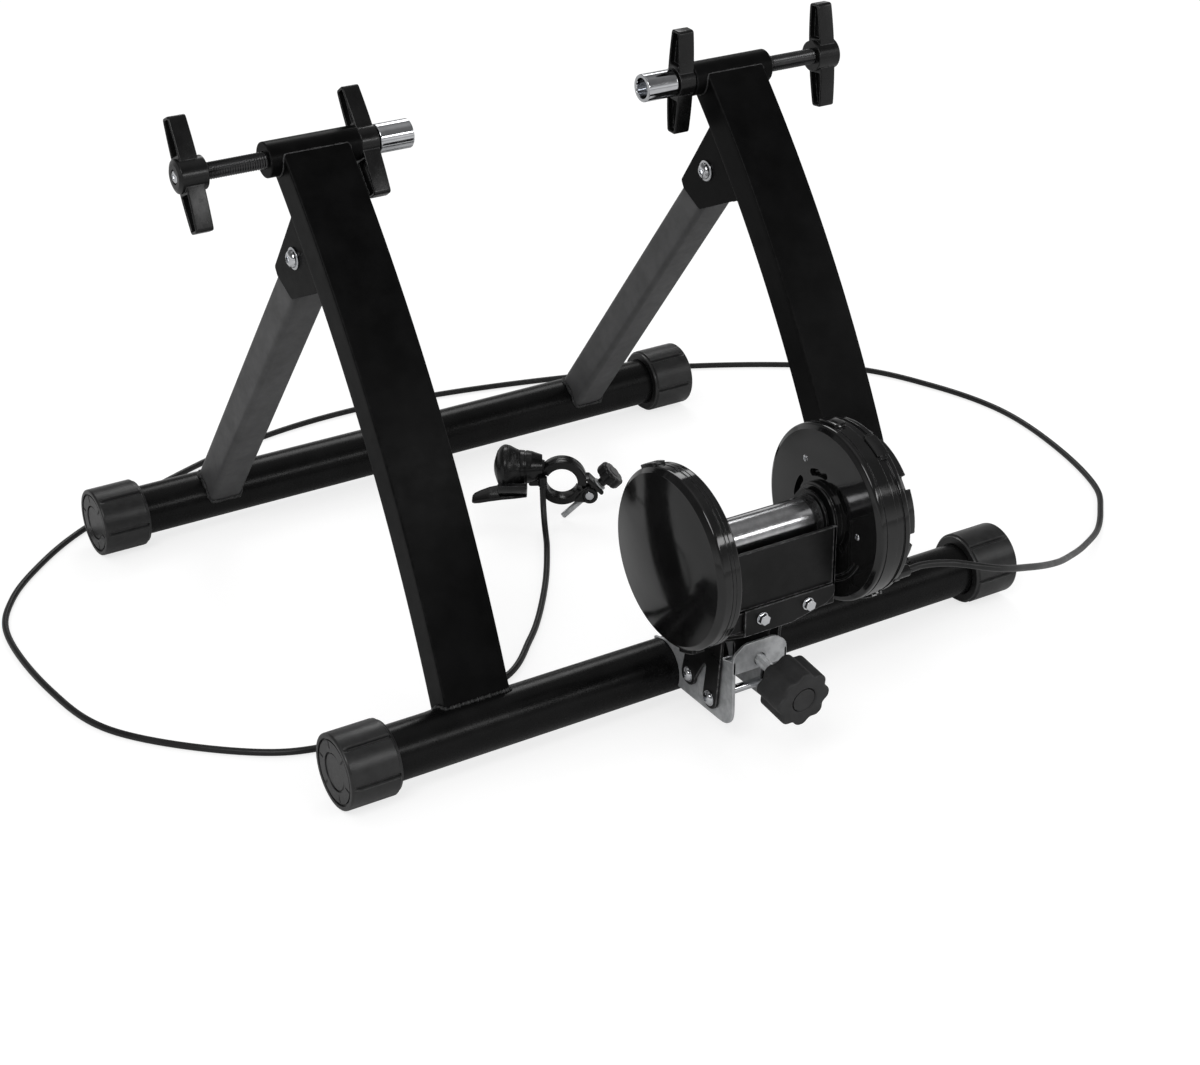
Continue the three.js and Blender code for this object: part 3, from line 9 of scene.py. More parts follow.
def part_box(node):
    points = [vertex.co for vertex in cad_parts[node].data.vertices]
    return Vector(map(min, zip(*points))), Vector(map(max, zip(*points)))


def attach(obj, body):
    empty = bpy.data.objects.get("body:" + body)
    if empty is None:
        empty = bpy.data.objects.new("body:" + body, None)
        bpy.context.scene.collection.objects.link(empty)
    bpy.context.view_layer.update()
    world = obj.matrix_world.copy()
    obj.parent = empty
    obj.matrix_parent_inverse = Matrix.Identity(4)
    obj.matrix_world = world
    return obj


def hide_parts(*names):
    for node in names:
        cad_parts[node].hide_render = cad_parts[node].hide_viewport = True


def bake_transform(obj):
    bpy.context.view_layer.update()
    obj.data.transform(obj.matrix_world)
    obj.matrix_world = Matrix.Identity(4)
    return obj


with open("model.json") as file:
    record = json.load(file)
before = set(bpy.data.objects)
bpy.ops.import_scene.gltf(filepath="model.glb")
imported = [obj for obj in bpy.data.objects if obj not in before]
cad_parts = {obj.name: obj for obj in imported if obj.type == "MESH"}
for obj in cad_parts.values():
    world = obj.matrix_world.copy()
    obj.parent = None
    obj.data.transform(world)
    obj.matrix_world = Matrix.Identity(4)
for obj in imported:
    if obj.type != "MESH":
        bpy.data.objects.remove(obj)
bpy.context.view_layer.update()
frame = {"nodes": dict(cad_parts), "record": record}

# Sizes in millimetres, as in the part's source
TUBE_R = 19.0
TUBE_WALL = 1.6
BASE_LENGTH = 545.0
LEG_TUBE_LENGTH = 537.0
FOOT_R = 26.0
FOOT_LENGTH = 37.2
TUBE_Z = 25.68
FOOT_SPREAD = 417.0
AXLE = (204.6, 360.2)
UPRIGHT_X = 166.5
UPRIGHT_HALF_WIDTH = 24.1
UPRIGHT_HALF_DEPTH = 11.8
UPRIGHT_HEEL = 5.4
UPRIGHT_BOW = 19.6
PIVOT_DROP = 55.0
PIVOT_STANDOFF = 34.8
LEG_HALF = 13.6
GUSSET_INNER = 13.9
GUSSET_OUTER = 16.1
GUSSET_SHEET = 2.2
SLEEVE_R = 12.0
SCREW_R = 5.85
SCREW_PITCH = 1.75
UNIT_PLACE = (0.0, -76.0, 153.3)
COVER_R = 60.0
PIN_R = 3.0
RING_PLACE = (62.6, 270.7, 34.0)
RING_TURN = math.radians(-32)
THUMB_TILT = math.radians(43.3)
CABLE_R = 2.4
CABLE_SIDES = 16
# Heights in metres, given with the frame and the unit when the cable is made
CABLE_BEND = (0.038, 0.113)

BOTH = (("left", -1), ("right", 1))

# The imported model's frame: the source's layout, moved along Y, in metres
tube_low, tube_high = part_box("base_tube")
TO_ROW = Matrix.Translation((0, (tube_low.y + tube_high.y) / 2, 0)) @ Matrix.Scale(0.001, 4)
BODY_OF = {node: body for body, nodes in frame["record"]["behaviour"]["bodies"].items() for node in nodes}


def shift(x, y, z):
    return Matrix.Translation((x, y, z))


def turn(degrees, axis):
    return Matrix.Rotation(math.radians(degrees), 4, axis)


def circle_point(radius, degrees, centre=(0.0, 0.0)):
    angle = math.radians(degrees)
    return (centre[0] + radius * math.cos(angle), centre[1] + radius * math.sin(angle))


# Outlines
def rounded(points, closed=True, steps=5, support=0.3):
    """A point with a third number is a corner rounded by that radius."""
    out = []
    count = len(points)
    for i, point in enumerate(points):
        here = Vector(point[:2])
        inner = closed or 0 < i < count - 1
        radius = point[2] if len(point) > 2 and inner else 0
        if not radius:
            out.append(here)
            continue
        back = Vector(points[i - 1][:2]) - here
        ahead = Vector(points[(i + 1) % count][:2]) - here
        angle = back.angle(ahead, math.pi)
        reach = min(radius / max(math.tan(angle / 2), 1e-3), 0.46 * back.length, 0.46 * ahead.length)
        start = here + back.normalized() * reach
        end = here + ahead.normalized() * reach
        out.append(start + back.normalized() * min(support, 0.05 * back.length + 0.02))
        for k in range(steps + 1):
            t = k / steps
            out.append((1 - t) ** 2 * start + 2 * t * (1 - t) * here + t * t * end)
        out.append(end + ahead.normalized() * min(support, 0.05 * ahead.length + 0.02))
    return out


def circle(radius, centre=(0.0, 0.0), steps=48):
    return [Vector(circle_point(radius, 360 * k / steps, centre)) for k in range(steps)]


def arc(radius, start, end, centre=(0.0, 0.0), step=4.0):
    steps = max(2, math.ceil(abs(end - start) / step))
    angles = [start + (end - start) * k / steps for k in range(steps + 1)]
    return [Vector(circle_point(radius, angle, centre)) for angle in angles]


def ring_arc(inner, outer, start, end, centre=(0.0, 0.0)):
    return arc(outer, start, end, centre) + arc(inner, end, start, centre)


def round_slot(radius, half, start, end, centre=(0.0, 0.0)):
    """A slot bent round a centre, with round ends."""
    first = circle_point(radius, start, centre)
    last = circle_point(radius, end, centre)
    return (arc(radius + half, start, end, centre) + arc(half, end, end + 180, last, 20)[1:-1]
            + arc(radius - half, end, start, centre) + arc(half, start + 180, start + 360, first, 20)[1:-1])


def rectangle(u0, u1, v0, v1, corner=0.0):
    return rounded([(u0, v0, corner), (u1, v0, corner), (u1, v1, corner), (u0, v1, corner)])


def wound(points, outer):
    area = sum(a.x * b.y - b.x * a.y for a, b in zip(points, points[1:] + points[:1]))
    return list(points) if (area > 0) == outer else list(reversed(points))


def shrunk(points, inset):
    """The outline moved into the material, which lies on its left."""
    out = []
    count = len(points)
    for i, here in enumerate(points):
        a = (here - points[i - 1])
        b = (points[(i + 1) % count] - here)
        first = Vector((a.y, -a.x)).normalized() if a.length > 1e-9 else Vector((0, 0))
        second = Vector((b.y, -b.x)).normalized() if b.length > 1e-9 else first
        share = max(1 + first.dot(second), 0.5)
        out.append(here - (first + second) / share * inset)
    return out


# Mesh building
AXES = {"x": lambda u, v, w: Vector((w, u, v)), "y": lambda u, v, w: Vector((u, w, v)),
        "z": lambda u, v, w: Vector((u, v, w))}


def bridge(mesh, lower, upper, closed=True):
    count = len(lower)
    for i in range(count if closed else count - 1):
        k = (i + 1) % count
        corners = []
        for vert in (lower[i], lower[k], upper[k], upper[i]):
            if vert not in corners:
                corners.append(vert)
        if len(corners) > 2:
            mesh.faces.new(corners)


def add_plate(mesh, outlines, low, high, axis="x", bevel=0.4, steps=3, place=None):
    """Outlines, the first outside and the rest holes, drawn out between two faces."""
    place = place or Matrix.Identity(4)
    rings = [wound(rounded(ring), i == 0) for i, ring in enumerate(outlines)]
    layers = []
    for k in range(steps + 1):
        angle = math.pi / 2 * k / steps
        layers.append((bevel * (1 - math.sin(angle)), bevel * (1 - math.cos(angle))))
    levels = [(low + w, inset) for inset, w in layers] + [(high - w, inset) for inset, w in reversed(layers)]
    columns = []
    for w, inset in levels:
        flat = [shrunk(ring, inset) for ring in rings]
        columns.append([[mesh.verts.new(place @ AXES[axis](p.x, p.y, w)) for p in ring] for ring in flat])
        if w == levels[0][0] or w == levels[-1][0]:
            verts = [v for ring in columns[-1] for v in ring]
            for a, b, c in geometry.tessellate_polygon([[p.to_3d() for p in ring] for ring in flat]):
                if mesh.faces.get((verts[a], verts[b], verts[c])) is None:
                    mesh.faces.new((verts[a], verts[b], verts[c]))
            for ring in columns[-1]:
                mark_sharp(ring)
    for lower, upper in zip(columns, columns[1:]):
        for a, b in zip(lower, upper):
            bridge(mesh, a, b)


def mark_sharp(ring):
    for a, b in zip(ring, ring[1:] + ring[:1]):
        for edge in a.link_edges:
            if edge.other_vert(a) is b:
                edge.smooth = False


def add_lathe(mesh, profile, sides=96, place=None, warp=None, steps=5):
    """A profile of (x, radius) points turned round the X axis."""
    place = place or Matrix.Identity(4)
    closed = tuple(profile[0][:2]) == tuple(profile[-1][:2])
    points = rounded(profile[:-1], True, steps) if closed else rounded(profile, False, steps)
    rings = []
    for point in points:
        if point.y < 1e-4:
            rings.append([mesh.verts.new(place @ Vector((point.x, 0, 0)))] * sides)
            continue
        ring = []
        for k in range(sides):
            angle = 2 * math.pi * k / sides
            x, r = warp(point.x, point.y, angle) if warp else (point.x, point.y)
            ring.append(mesh.verts.new(place @ Vector((x, r * math.cos(angle), r * math.sin(angle)))))
        rings.append(ring)
    pairs = list(zip(rings, rings[1:])) + ([(rings[-1], rings[0])] if closed else [])
    for lower, upper in pairs:
        bridge(mesh, lower, upper)


def turned(profile, sides=96, place=None, warp=None):
    """The builder of a piece that is one turned form."""
    return lambda mesh: add_lathe(mesh, profile, sides, place, warp)


def add_collar(mesh, low, high, inner, outer, corner=0.0, sides=48, place=None):
    """A plain ring or pipe along X."""
    outside = [(low, outer, corner), (high, outer, corner)]
    add_lathe(mesh, [(low, inner)] + outside + [(high, inner), (low, inner)], sides, place)


def add_loft(mesh, rings, caps=(False, False)):
    made = [[mesh.verts.new(p) for p in ring] for ring in rings]
    for lower, upper in zip(made, made[1:]):
        bridge(mesh, lower, upper)
    for wanted, ring in zip(caps, (made[0], made[-1])):
        if wanted:
            mesh.faces.new(ring)


def add_rope(mesh, path, radius_at, sides=10, closed=True):
    """A round bead along a path; its radius comes from the path's point number."""
    count = len(path)
    rings = []
    side = None
    for i, here in enumerate(path):
        before = path[i - 1] if closed or i else path[0]
        after = path[(i + 1) % count] if closed or i < count - 1 else path[-1]
        along = (after - before).normalized()
        if side is None:
            side = along.orthogonal().normalized()
        side = (side - along * side.dot(along)).normalized()
        other = along.cross(side)
        ring = []
        for k in range(sides):
            angle = 2 * math.pi * k / sides
            out = side * math.cos(angle) + other * math.sin(angle)
            ring.append(mesh.verts.new(here + out * radius_at(i)))
        rings.append(ring)
    pairs = list(zip(rings, rings[1:])) + ([(rings[-1], rings[0])] if closed else [])
    for lower, upper in pairs:
        bridge(mesh, lower, upper)
    if not closed:
        mesh.faces.new(rings[0])
        mesh.faces.new(rings[-1])


def add_thread(mesh, radius, pitch, start, end, place=None, depth=None, sides=32):
    """A screw's rod with a helical thread and chamfered ends."""
    depth = depth or 0.55 * pitch
    rows = int((end - start) / pitch * 6)
    profile = [(start, 0), (start, radius - 1.4 * depth)]
    profile += [(start + (end - start) * (k + 0.5) / rows, radius) for k in range(rows)]
    profile += [(end, radius - 1.4 * depth), (end, 0)]

    def warp(x, r, angle):
        if abs(r - radius) > 1e-3:
            return x, r
        phase = (x / pitch - angle / (2 * math.pi)) % 1
        near = min((x - start) / pitch, (end - x) / pitch, 1)
        return x, min(r, radius - depth * abs(2 * phase - 1) * 0.9) - (1 - max(near, 0)) * depth * 0.5

    add_lathe(mesh, profile, sides, place, warp)


def make_piece(name, build, look, node, place, body=None, smooth=36, bend=None):
    """A piece built in the layout frame; it stands for a node and rides its body, or only rides a body; with
    a bend it keeps its place and rides no body.
    """
    mesh = bmesh.new()
    build(mesh)
    mesh.transform(TO_ROW @ place)
    bmesh.ops.remove_doubles(mesh, verts=mesh.verts, dist=1e-7)
    bmesh.ops.recalc_face_normals(mesh, faces=mesh.faces)
    limit = math.radians(smooth)
    for edge in mesh.edges:
        if edge.smooth and edge.calc_face_angle(0.0) > limit:
            edge.smooth = False
    for face in mesh.faces:
        face.smooth = True
    data = bpy.data.meshes.new(name)
    mesh.to_mesh(data)
    mesh.free()
    piece = bpy.data.objects.new(name, data)
    bpy.context.scene.collection.objects.link(piece)
    data.materials.append(MATERIALS[look])
    if bend:
        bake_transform(piece)
    else:
        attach(piece, body or BODY_OF[node])
    if node:
        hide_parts(node)
    return piece


# Materials
def node_maker(owner):
    """A function that adds a node to an emptied tree; inputs that are sockets are linked, the rest set."""
    tree = owner.node_tree
    tree.nodes.clear()

    def node(kind, inputs=(), **settings):
        made = tree.nodes.new("ShaderNode" + kind)
        for key, value in settings.items():
            setattr(made, key, value)
        for key, value in dict(inputs).items():
            if isinstance(value, bpy.types.NodeSocket):
                tree.links.new(value, made.inputs[key])
            else:
                made.inputs[key].default_value = value
        return made

    return node


def new_material(name):
    material = bpy.data.materials.new(name)
    material.use_nodes = True
    return material, node_maker(material)


def noise_share(node, place, scale, detail, roughness, stretch=None):
    if stretch:
        place = node("Mapping", {"Scale": stretch, "Vector": place}).outputs["Vector"]
    return node("TexNoise", {"Scale": scale, "Detail": detail, "Roughness": roughness,
                             "Vector": place}).outputs["Fac"]


def ranged(node, value, low, high, to_low, to_high):
    return node("MapRange", {"From Min": low, "From Max": high, "To Min": to_low, "To Max": to_high,
                             "Value": value}).outputs["Result"]


def mixed(node, share, first, second):
    """Two colours mixed by a share. The node's inputs 0, 6 and 7 are the share and the colours."""
    return node("Mix", {0: share, 6: first, 7: second}, data_type="RGBA").outputs[2]


def edge_wear_and_highlight_share(node, place, radius, strength):
    """How much of a point is an edge lightened by wear and by painted highlight: where a rounded normal
    leaves the face's own.
    """
    rounded_normal = node("Bevel", {"Radius": radius}, samples=4).outputs["Normal"]
    own_normal = node("NewGeometry").outputs["Normal"]
    likeness = node("VectorMath", {0: rounded_normal, 1: own_normal}, operation="DOT_PRODUCT")
    edge = ranged(node, likeness.outputs["Value"], 0.99, 0.86, 0, strength)
    patches = ranged(node, noise_share(node, place, 260, 4, 0.55), 0.38, 0.62, 0.15, 1)
    return node("Math", {0: edge, 1: patches}, operation="MULTIPLY").outputs[0]


def shade(colour):
    """A colour for a socket: three numbers as they are, or one as a barely cool grey."""
    return (*colour, 1) if isinstance(colour, tuple) else (colour, colour, colour * 1.02, 1)


def surface(name, slot, dark, light, rough, metallic=0.0, specular=0.5, blotch=45, grain=900, bump=0.15,
            depth=0.0002, wear=None, wear_strength=0.6, wear_radius=0.0006):
    """A finish: blotches between two colours, smudged roughness, fine grain, and edges lightened partly as
    wear and partly as painted highlight.
    """
    material, node = new_material(name)
    material["slot"] = slot
    place = node("TexCoord").outputs["Object"]
    blotches = ranged(node, noise_share(node, place, blotch, 4, 0.6), 0.35, 0.65, 0, 1)
    colour = mixed(node, blotches, shade(dark), shade(light))
    # Lighter edges: partly wear, partly a painted highlight for the light that rounded edges catch.
    if wear:
        colour = mixed(node, edge_wear_and_highlight_share(node, place, wear_radius, wear_strength), colour, shade(wear))
    smudges = ranged(node, noise_share(node, place, blotch * 2.3, 5, 0.65), 0.3, 0.7, *rough)
    lift = node("Bump", {"Strength": bump, "Distance": depth,
                         "Height": noise_share(node, place, grain, 2, 0.5)}).outputs["Normal"]
    shader = node("BsdfPrincipled", {"Metallic": metallic, "Specular IOR Level": specular,
                                     "Base Color": colour, "Roughness": smudges, "Normal": lift})
    node("OutputMaterial", {"Surface": shader.outputs["BSDF"]})
    return material


# Each finish: name, slot, dark and light shade, range of roughness, and what differs from the usual
# The entries for edges lighten them, partly as wear and partly as painted highlight.
FINISHES = {
    # Black paint whose lighter edges are mainly a painted highlight: the thin bright lines along the
    # uprights' edges.
    "black": ("black_powder_coat", "black_paint", 0.0022, 0.0042, (0.3, 0.4), dict(
        specular=0.05, grain=1500, bump=0.1, wear=0.09, wear_strength=0.9, wear_radius=0.001)),
    "tube": ("black_tube_paint", "black_paint", 0.0022, 0.0042, (0.24, 0.31), dict(
        specular=0.16, grain=1500, bump=0.08, wear=0.13, wear_strength=0.75)),
    # Black paint whose edges are much lighter: a painted highlight along the bends of the cradle and arm,
    # with some wear.
    "edge_wear_highlight_black": ("rubbed_black_paint", "black_paint", 0.003, 0.008, (0.26, 0.42), dict(
        specular=0.2, grain=1500, bump=0.12, wear=0.5, wear_strength=1.0, wear_radius=0.0009)),
    # The weld's light speckles and edges are partly painted glints, the dotted highlights of the bead, and
    # partly wear.
    "weld": ("painted_weld", "black_paint", 0.0025, 0.03, (0.2, 0.5), dict(
        specular=0.4, blotch=900, grain=1300, bump=0.8, depth=0.0006, wear=0.3)),
    # The legs' grey is partly painted sheen: lighter than the frame's black to give the lit look of their
    # satin paint.
    "grey": ("grey_paint_finish", "grey_paint", 0.052, 0.07, (0.42, 0.55), dict(
        specular=0.3, grain=1500, bump=0.1, wear=0.2, wear_strength=0.4)),
    "rubber": ("moulded_rubber", "rubber", 0.008, 0.015, (0.3, 0.38), dict(
        blotch=160, grain=2400, bump=0.2, wear=0.11, wear_strength=0.5)),
    "cable": ("cable_jacket", "rubber", 0.006, 0.011, (0.32, 0.45), dict(
        specular=0.4, blotch=30, grain=3000, bump=0.12)),
    "chrome": ("bright_chrome", "chrome", (0.55, 0.56, 0.58), (0.7, 0.71, 0.73), (0.05, 0.13), dict(
        metallic=1.0, blotch=60, grain=600, bump=0.03)),
    "zinc": ("zinc_plate", "zinc", (0.42, 0.43, 0.44), (0.6, 0.61, 0.62), (0.34, 0.5), dict(
        metallic=0.6, blotch=160, grain=1400, bump=0.12, wear=(0.8, 0.8, 0.8))),
    "dark_steel": ("blackened_steel", "dark_steel", 0.05, 0.07, (0.16, 0.24), dict(
        metallic=0.9, blotch=60, grain=1500, bump=0.05)),
    "roller": ("ground_steel", "chrome", 0.5, 0.62, (0.16, 0.24), dict(
        metallic=1.0, blotch=120, bump=0.04)),
    "aluminium": ("turned_aluminium", "aluminium", 0.4, 0.5, (0.3, 0.45), dict(
        metallic=0.9, blotch=200, bump=0.08)),
    "gloss": ("gloss_black_plastic", "gloss_plastic", 0.004, 0.008, (0.07, 0.15), dict(
        blotch=25, grain=260, bump=0.02, wear=0.1, wear_strength=0.35)),
    "matte": ("matte_black_plastic", "matte_plastic", 0.0025, 0.006, (0.2, 0.3), dict(
        specular=0.35, blotch=70, grain=2200, bump=0.05, wear=0.16, wear_strength=0.7)),
    "knob": ("knob_plastic", "matte_plastic", 0.02, 0.028, (0.5, 0.62), dict(
        specular=0.3, blotch=70, grain=2600, bump=0.2, wear=0.12, wear_strength=0.5)),
    "grip": ("textured_plastic", "matte_plastic", 0.002, 0.006, (0.16, 0.28), dict(
        specular=0.4, blotch=300, grain=2200, bump=0.2)),
    "magnet": ("sintered_magnet", "magnet", 0.06, 0.09, (0.5, 0.65), dict(
        metallic=0.3, blotch=200, grain=1200, bump=0.2)),
}
MATERIALS = {key: surface(*look, **rest) for key, (*look, rest) in FINISHES.items()}


# Camera, studio and cable
# The fitted camera: its place in metres, its axes, and its focal length in widths of the picture
CAMERA_PLACE = (-0.81116, -1.33534, 0.84967)
CAMERA_RIGHT = (0.84596109, -0.53320202, -0.00674116)
CAMERA_UP = (0.24677346, 0.38025361, 0.89135293)
CAMERA_BACK = (-0.47270783, -0.75571344, 0.45325986)
FOCAL = 2399.36 / 1200
SENSOR = 36


def make_camera():
    data = bpy.data.cameras.new("camera")
    data.sensor_fit = "HORIZONTAL"
    data.sensor_width = SENSOR
    data.lens = FOCAL * SENSOR
    data.clip_start, data.clip_end = 0.02, 60
    camera = bpy.data.objects.new("camera", data)
    axes = Matrix((CAMERA_RIGHT, CAMERA_UP, CAMERA_BACK)).transposed().to_4x4()
    camera.matrix_world = Matrix.Translation(CAMERA_PLACE) @ axes
    bpy.context.scene.collection.objects.link(camera)
    bpy.context.scene.camera = camera


def add_lamp(name, place, target, size, power, height=None):
    data = bpy.data.lights.new(name, "AREA")
    data.shape = "RECTANGLE" if height else "DISK"
    data.size = size
    if height:
        data.size_y = height
    data.energy = power
    lamp = bpy.data.objects.new(name, data)
    lamp.location = place
    lamp.rotation_mode = "QUATERNION"
    lamp.rotation_quaternion = (Vector(target) - Vector(place)).to_track_quat("-Z", "Y")
    bpy.context.scene.collection.objects.link(lamp)


# What glossy surfaces mirror of the world: share of the way up from the horizon, and brightness
MIRRORED_SKY = ((0.0, 0.8), (0.1, 0.6), (0.25, 0.24), (0.5, 0.13), (0.8, 0.17), (1.0, 0.5))
WORLD_LEVEL = 0.62
WHITE = (1, 1, 1, 1)


def make_world():
    """White to the camera, a plain level on the surfaces, and a studio-like gradient in what they mirror."""
    world = bpy.data.worlds.new("studio")
    bpy.context.scene.world = world
    world.use_nodes = True
    node = node_maker(world)
    rays = node("LightPath").outputs
    lit = node("Background", {"Color": WHITE, "Strength": WORLD_LEVEL}).outputs[0]
    shown = node("Background", {"Color": WHITE}).outputs[0]
    direction = node("SeparateXYZ", {0: node("TexCoord").outputs["Generated"]}).outputs
    ramp = node("ValToRGB", {"Fac": direction["Z"]})
    elements = ramp.color_ramp.elements
    while len(elements) < len(MIRRORED_SKY):
        elements.new(0.5)
    for element, (where, level) in zip(elements, MIRRORED_SKY):
        element.position = where
        element.color = (level, level, level, 1)
    mirrored = node("Background", {"Color": ramp.outputs["Color"]}).outputs[0]
    first = node("MixShader", {0: rays["Is Glossy Ray"], 1: lit, 2: mirrored}).outputs[0]
    clear = node("Math", {0: rays["Is Camera Ray"], 1: rays["Is Transmission Ray"]}, operation="MAXIMUM")
    second = node("MixShader", {0: clear.outputs[0], 1: first, 2: shown}).outputs[0]
    node("OutputWorld", {"Surface": second})


FLOOR_PLAIN = (0.62, 0.62, 0.62, 1)
FLOOR_SHOWN = (0.34, 0.34, 0.34, 1)
FLOOR_GLOW = 0.74
FLOOR_R = 6.0


def make_floor():
    """A pale floor that keeps the shadow; towards the camera part of its level is a glow."""
    material, node = new_material("studio_floor")
    plain = node("BsdfDiffuse", {"Color": FLOOR_PLAIN}).outputs[0]
    pale = node("BsdfDiffuse", {"Color": FLOOR_SHOWN}).outputs[0]
    glow = node("Emission", {"Strength": FLOOR_GLOW}).outputs[0]
    shown = node("AddShader", {0: pale, 1: glow}).outputs[0]
    mix = node("MixShader", {0: node("LightPath").outputs["Is Camera Ray"], 1: plain, 2: shown})
    node("OutputMaterial", {"Surface": mix.outputs[0]})
    mesh = bmesh.new()
    add_plate(mesh, [circle(FLOOR_R, steps=64)], -0.01, -0.0004, "z", 0.002)
    data = bpy.data.meshes.new("floor")
    mesh.to_mesh(data)
    mesh.free()
    data.materials.append(material)
    floor = bpy.data.objects.new("floor", data)
    bpy.context.scene.collection.objects.link(floor)


# Name, place, target, size and watts; the last one is a strip with a height
LAMPS = (("key_lamp", (-1.3, -1.2, 1.9), (0, 0, 0.15), 1.1, 17),
         ("rear_lamp", (0.9, 1.6, 1.8), (0, 0, 0.15), 1.0, 9),
         ("side_lamp", (1.9, -1.3, 1.1), (0, 0, 0.15), 0.8, 4),
         ("streak_lamp", (0.42, -1.42, 0.92), (-0.1, -0.1, 0.1), 0.95, 4.0, 0.2))


def make_studio():
    make_camera()
    make_world()
    make_floor()
    for lamp in LAMPS:
        add_lamp(*lamp)


CABLE_ROUTE = [
    (44.6, 270.2, 33.7), (44.5, 270, 28), (42.7, 266.4, 17), (38.6, 258, 6.8), (32.6, 246, 2.6),
    (26, 234, 2.5), (-3.7, 186.4, 2.5), (-40.5, 136.7, 2.5), (-60.5, 114.5, 2.5), (-98.6, 80, 2.5),
    (-166, 64.5, 2.5), (-252.6, 65.9, 2.5), (-292.6, 85.8, 2.5), (-360.1, 162.3, 2.5),
    (-375.2, 234.5, 2.5), (-371.3, 333.1, 2.5), (-351.8, 374.5, 2.5), (-320.5, 410.9, 2.5),
    (-263.7, 456, 2.5), (-99.7, 530.5, 2.5), (9.9, 545.7, 2.5), (106.1, 533, 2.5), (204.6, 507.4, 2.5),
    (317, 466.7, 2.5), (434.8, 384.3, 2.5), (470.5, 315.3, 2.5), (486.6, 240.1, 2.5),
    (474.6, 150.4, 2.5), (449, 78, 2.5), (425, 48, 2.6), (398, 22, 4.6), (355.5, -8.6, 15.6),
    (303.1, -47.3, 38), (247.7, -89.7, 66.7), (192.4, -123.3, 94.2), (150, -137, 111.5),
    (119, -126, 119.4), (100, -120.8, 121), (88.9, -120.58, 120.91),
]


def smooth_line(points, per_span=14):
    """The centripetal Catmull-Rom curve through the points, as in the part's source."""
    points = [Vector(p) for p in points]
    padded = [2 * points[0] - points[1]] + points + [2 * points[-1] - points[-2]]
    out = []
    for p0, p1, p2, p3 in zip(padded, padded[1:], padded[2:], padded[3:]):
        t0, t1, t2 = ((b - a).length ** 0.5 for a, b in ((p0, p1), (p1, p2), (p2, p3)))
        m1 = ((p1 - p0) / t0 - (p2 - p0) / (t0 + t1) + (p2 - p1) / t1) * t1
        m2 = ((p2 - p1) / t1 - (p3 - p1) / (t1 + t2) + (p3 - p2) / t2) * t1
        for k in range(per_span):
            t = k / per_span
            out.append((2 * p1 - 2 * p2 + m1 + m2) * t ** 3 + (-3 * p1 + 3 * p2 - 2 * m1 - m2) * t * t
                       + m1 * t + p1)
    return out + [points[-1]]


def make_cable():
    """One tube from the shifter to the unit, where it lies at rest."""
    route = smooth_line(CABLE_ROUTE)
    line = [TO_ROW @ p for p in route]
    bend = ("frame", "roller_unit", (0, line[-1].y, CABLE_BEND[0]), (0, line[-1].y, CABLE_BEND[1]))
    build = lambda mesh: add_rope(mesh, route, lambda i: CABLE_R, CABLE_SIDES, False)
    cable = make_piece("brake_cord", build, "cable", "brake_cable", shift(0, 0, 0), bend=bend)


# Frame: tubes, feet, uprights, gussets and legs
def tube_builder(length):
    reach = length / 2 - 4.5
    return lambda mesh: add_collar(mesh, -reach, reach, TUBE_R - TUBE_WALL, TUBE_R, 0, 128)


FOOT_GROOVES = range(0, 360, 60)
FOOT_GROOVE_HALF = 1.5
FOOT_GROOVE_DEPTH = 2.0
FOOT_TICKS = range(12, 360, 60)


def apart(a, b):
    """The angle between two directions, in degrees."""
    return abs((a - b + 180) % 360 - 180)


def foot_shape(x, r, angle):
    """Grip grooves along the side and short marks on the end, over the plain profile."""
    degrees = math.degrees(angle)
    if r > FOOT_R - 0.6 and x > 3.4:
        for groove in FOOT_GROOVES:
            off = apart(degrees, groove) * math.pi / 180 * r
            if off < FOOT_GROOVE_HALF:
                r -= FOOT_GROOVE_DEPTH * min(1, (FOOT_GROOVE_HALF - off) / 0.45) * min(1, (x - 3.4) / 1.2)
    if 16.4 < r < 20.4 and x < 1:
        for tick in FOOT_TICKS:
            if apart(degrees, tick) < 2.6:
                x += 0.7
    low = -math.sin(angle) * r
    if low > TUBE_Z:
        r = TUBE_Z / -math.sin(angle)
    return x, r


def build_foot(mesh):
    end, r = FOOT_LENGTH, FOOT_R
    rings = [(0.9, 0), (0.9, 12.2, 0.2), (1.7, 12.4, 0.15), (1.7, 13.2, 0.15), (0.35, 13.5, 0.2)]
    rings += [(0.35, ring) for ring in (15.4, 16.5, 17.6, 18.8, 20.0)]
    rings += [(0.35, 21.2, 0.15), (1.7, 21.4, 0.15), (1.7, 22.5, 0.15), (0.0, 22.8, 0.2), (0, r, 2.2)]
    side = [(x, r) for x in (4.6, 5.8, 12, 20, 28)] + [(end - 2.6, r, 0.5), (end - 1.9, 25.2, 0.3)]
    mouth = [(end - 1.6, 24.7, 0.2), (end, 24.3, 0.6), (end, 19.2, 0.4), (end - 8, 19.1)]
    add_lathe(mesh, rings + side + mouth, 240, None, foot_shape, 3)


def make_tubes_and_feet():
    tubes = (("front", "base", BASE_LENGTH, shift(0, 0, TUBE_Z)),
             ("rear", "leg", LEG_TUBE_LENGTH, shift(0, FOOT_SPREAD, TUBE_Z)))
    for prefix, node, length, place in tubes:
        make_piece(f"{prefix}_tube", tube_builder(length), "tube", f"{node}_tube", place)
    for prefix, node, length, place in tubes:
        for side, sign in BOTH:
            spot = place @ shift(sign * length / 2, 0, 0) @ turn(180 if sign > 0 else 0, "Z")
            make_piece(f"{prefix}_foot_{side}", build_foot, "rubber", f"{node}_foot_{side}", spot)


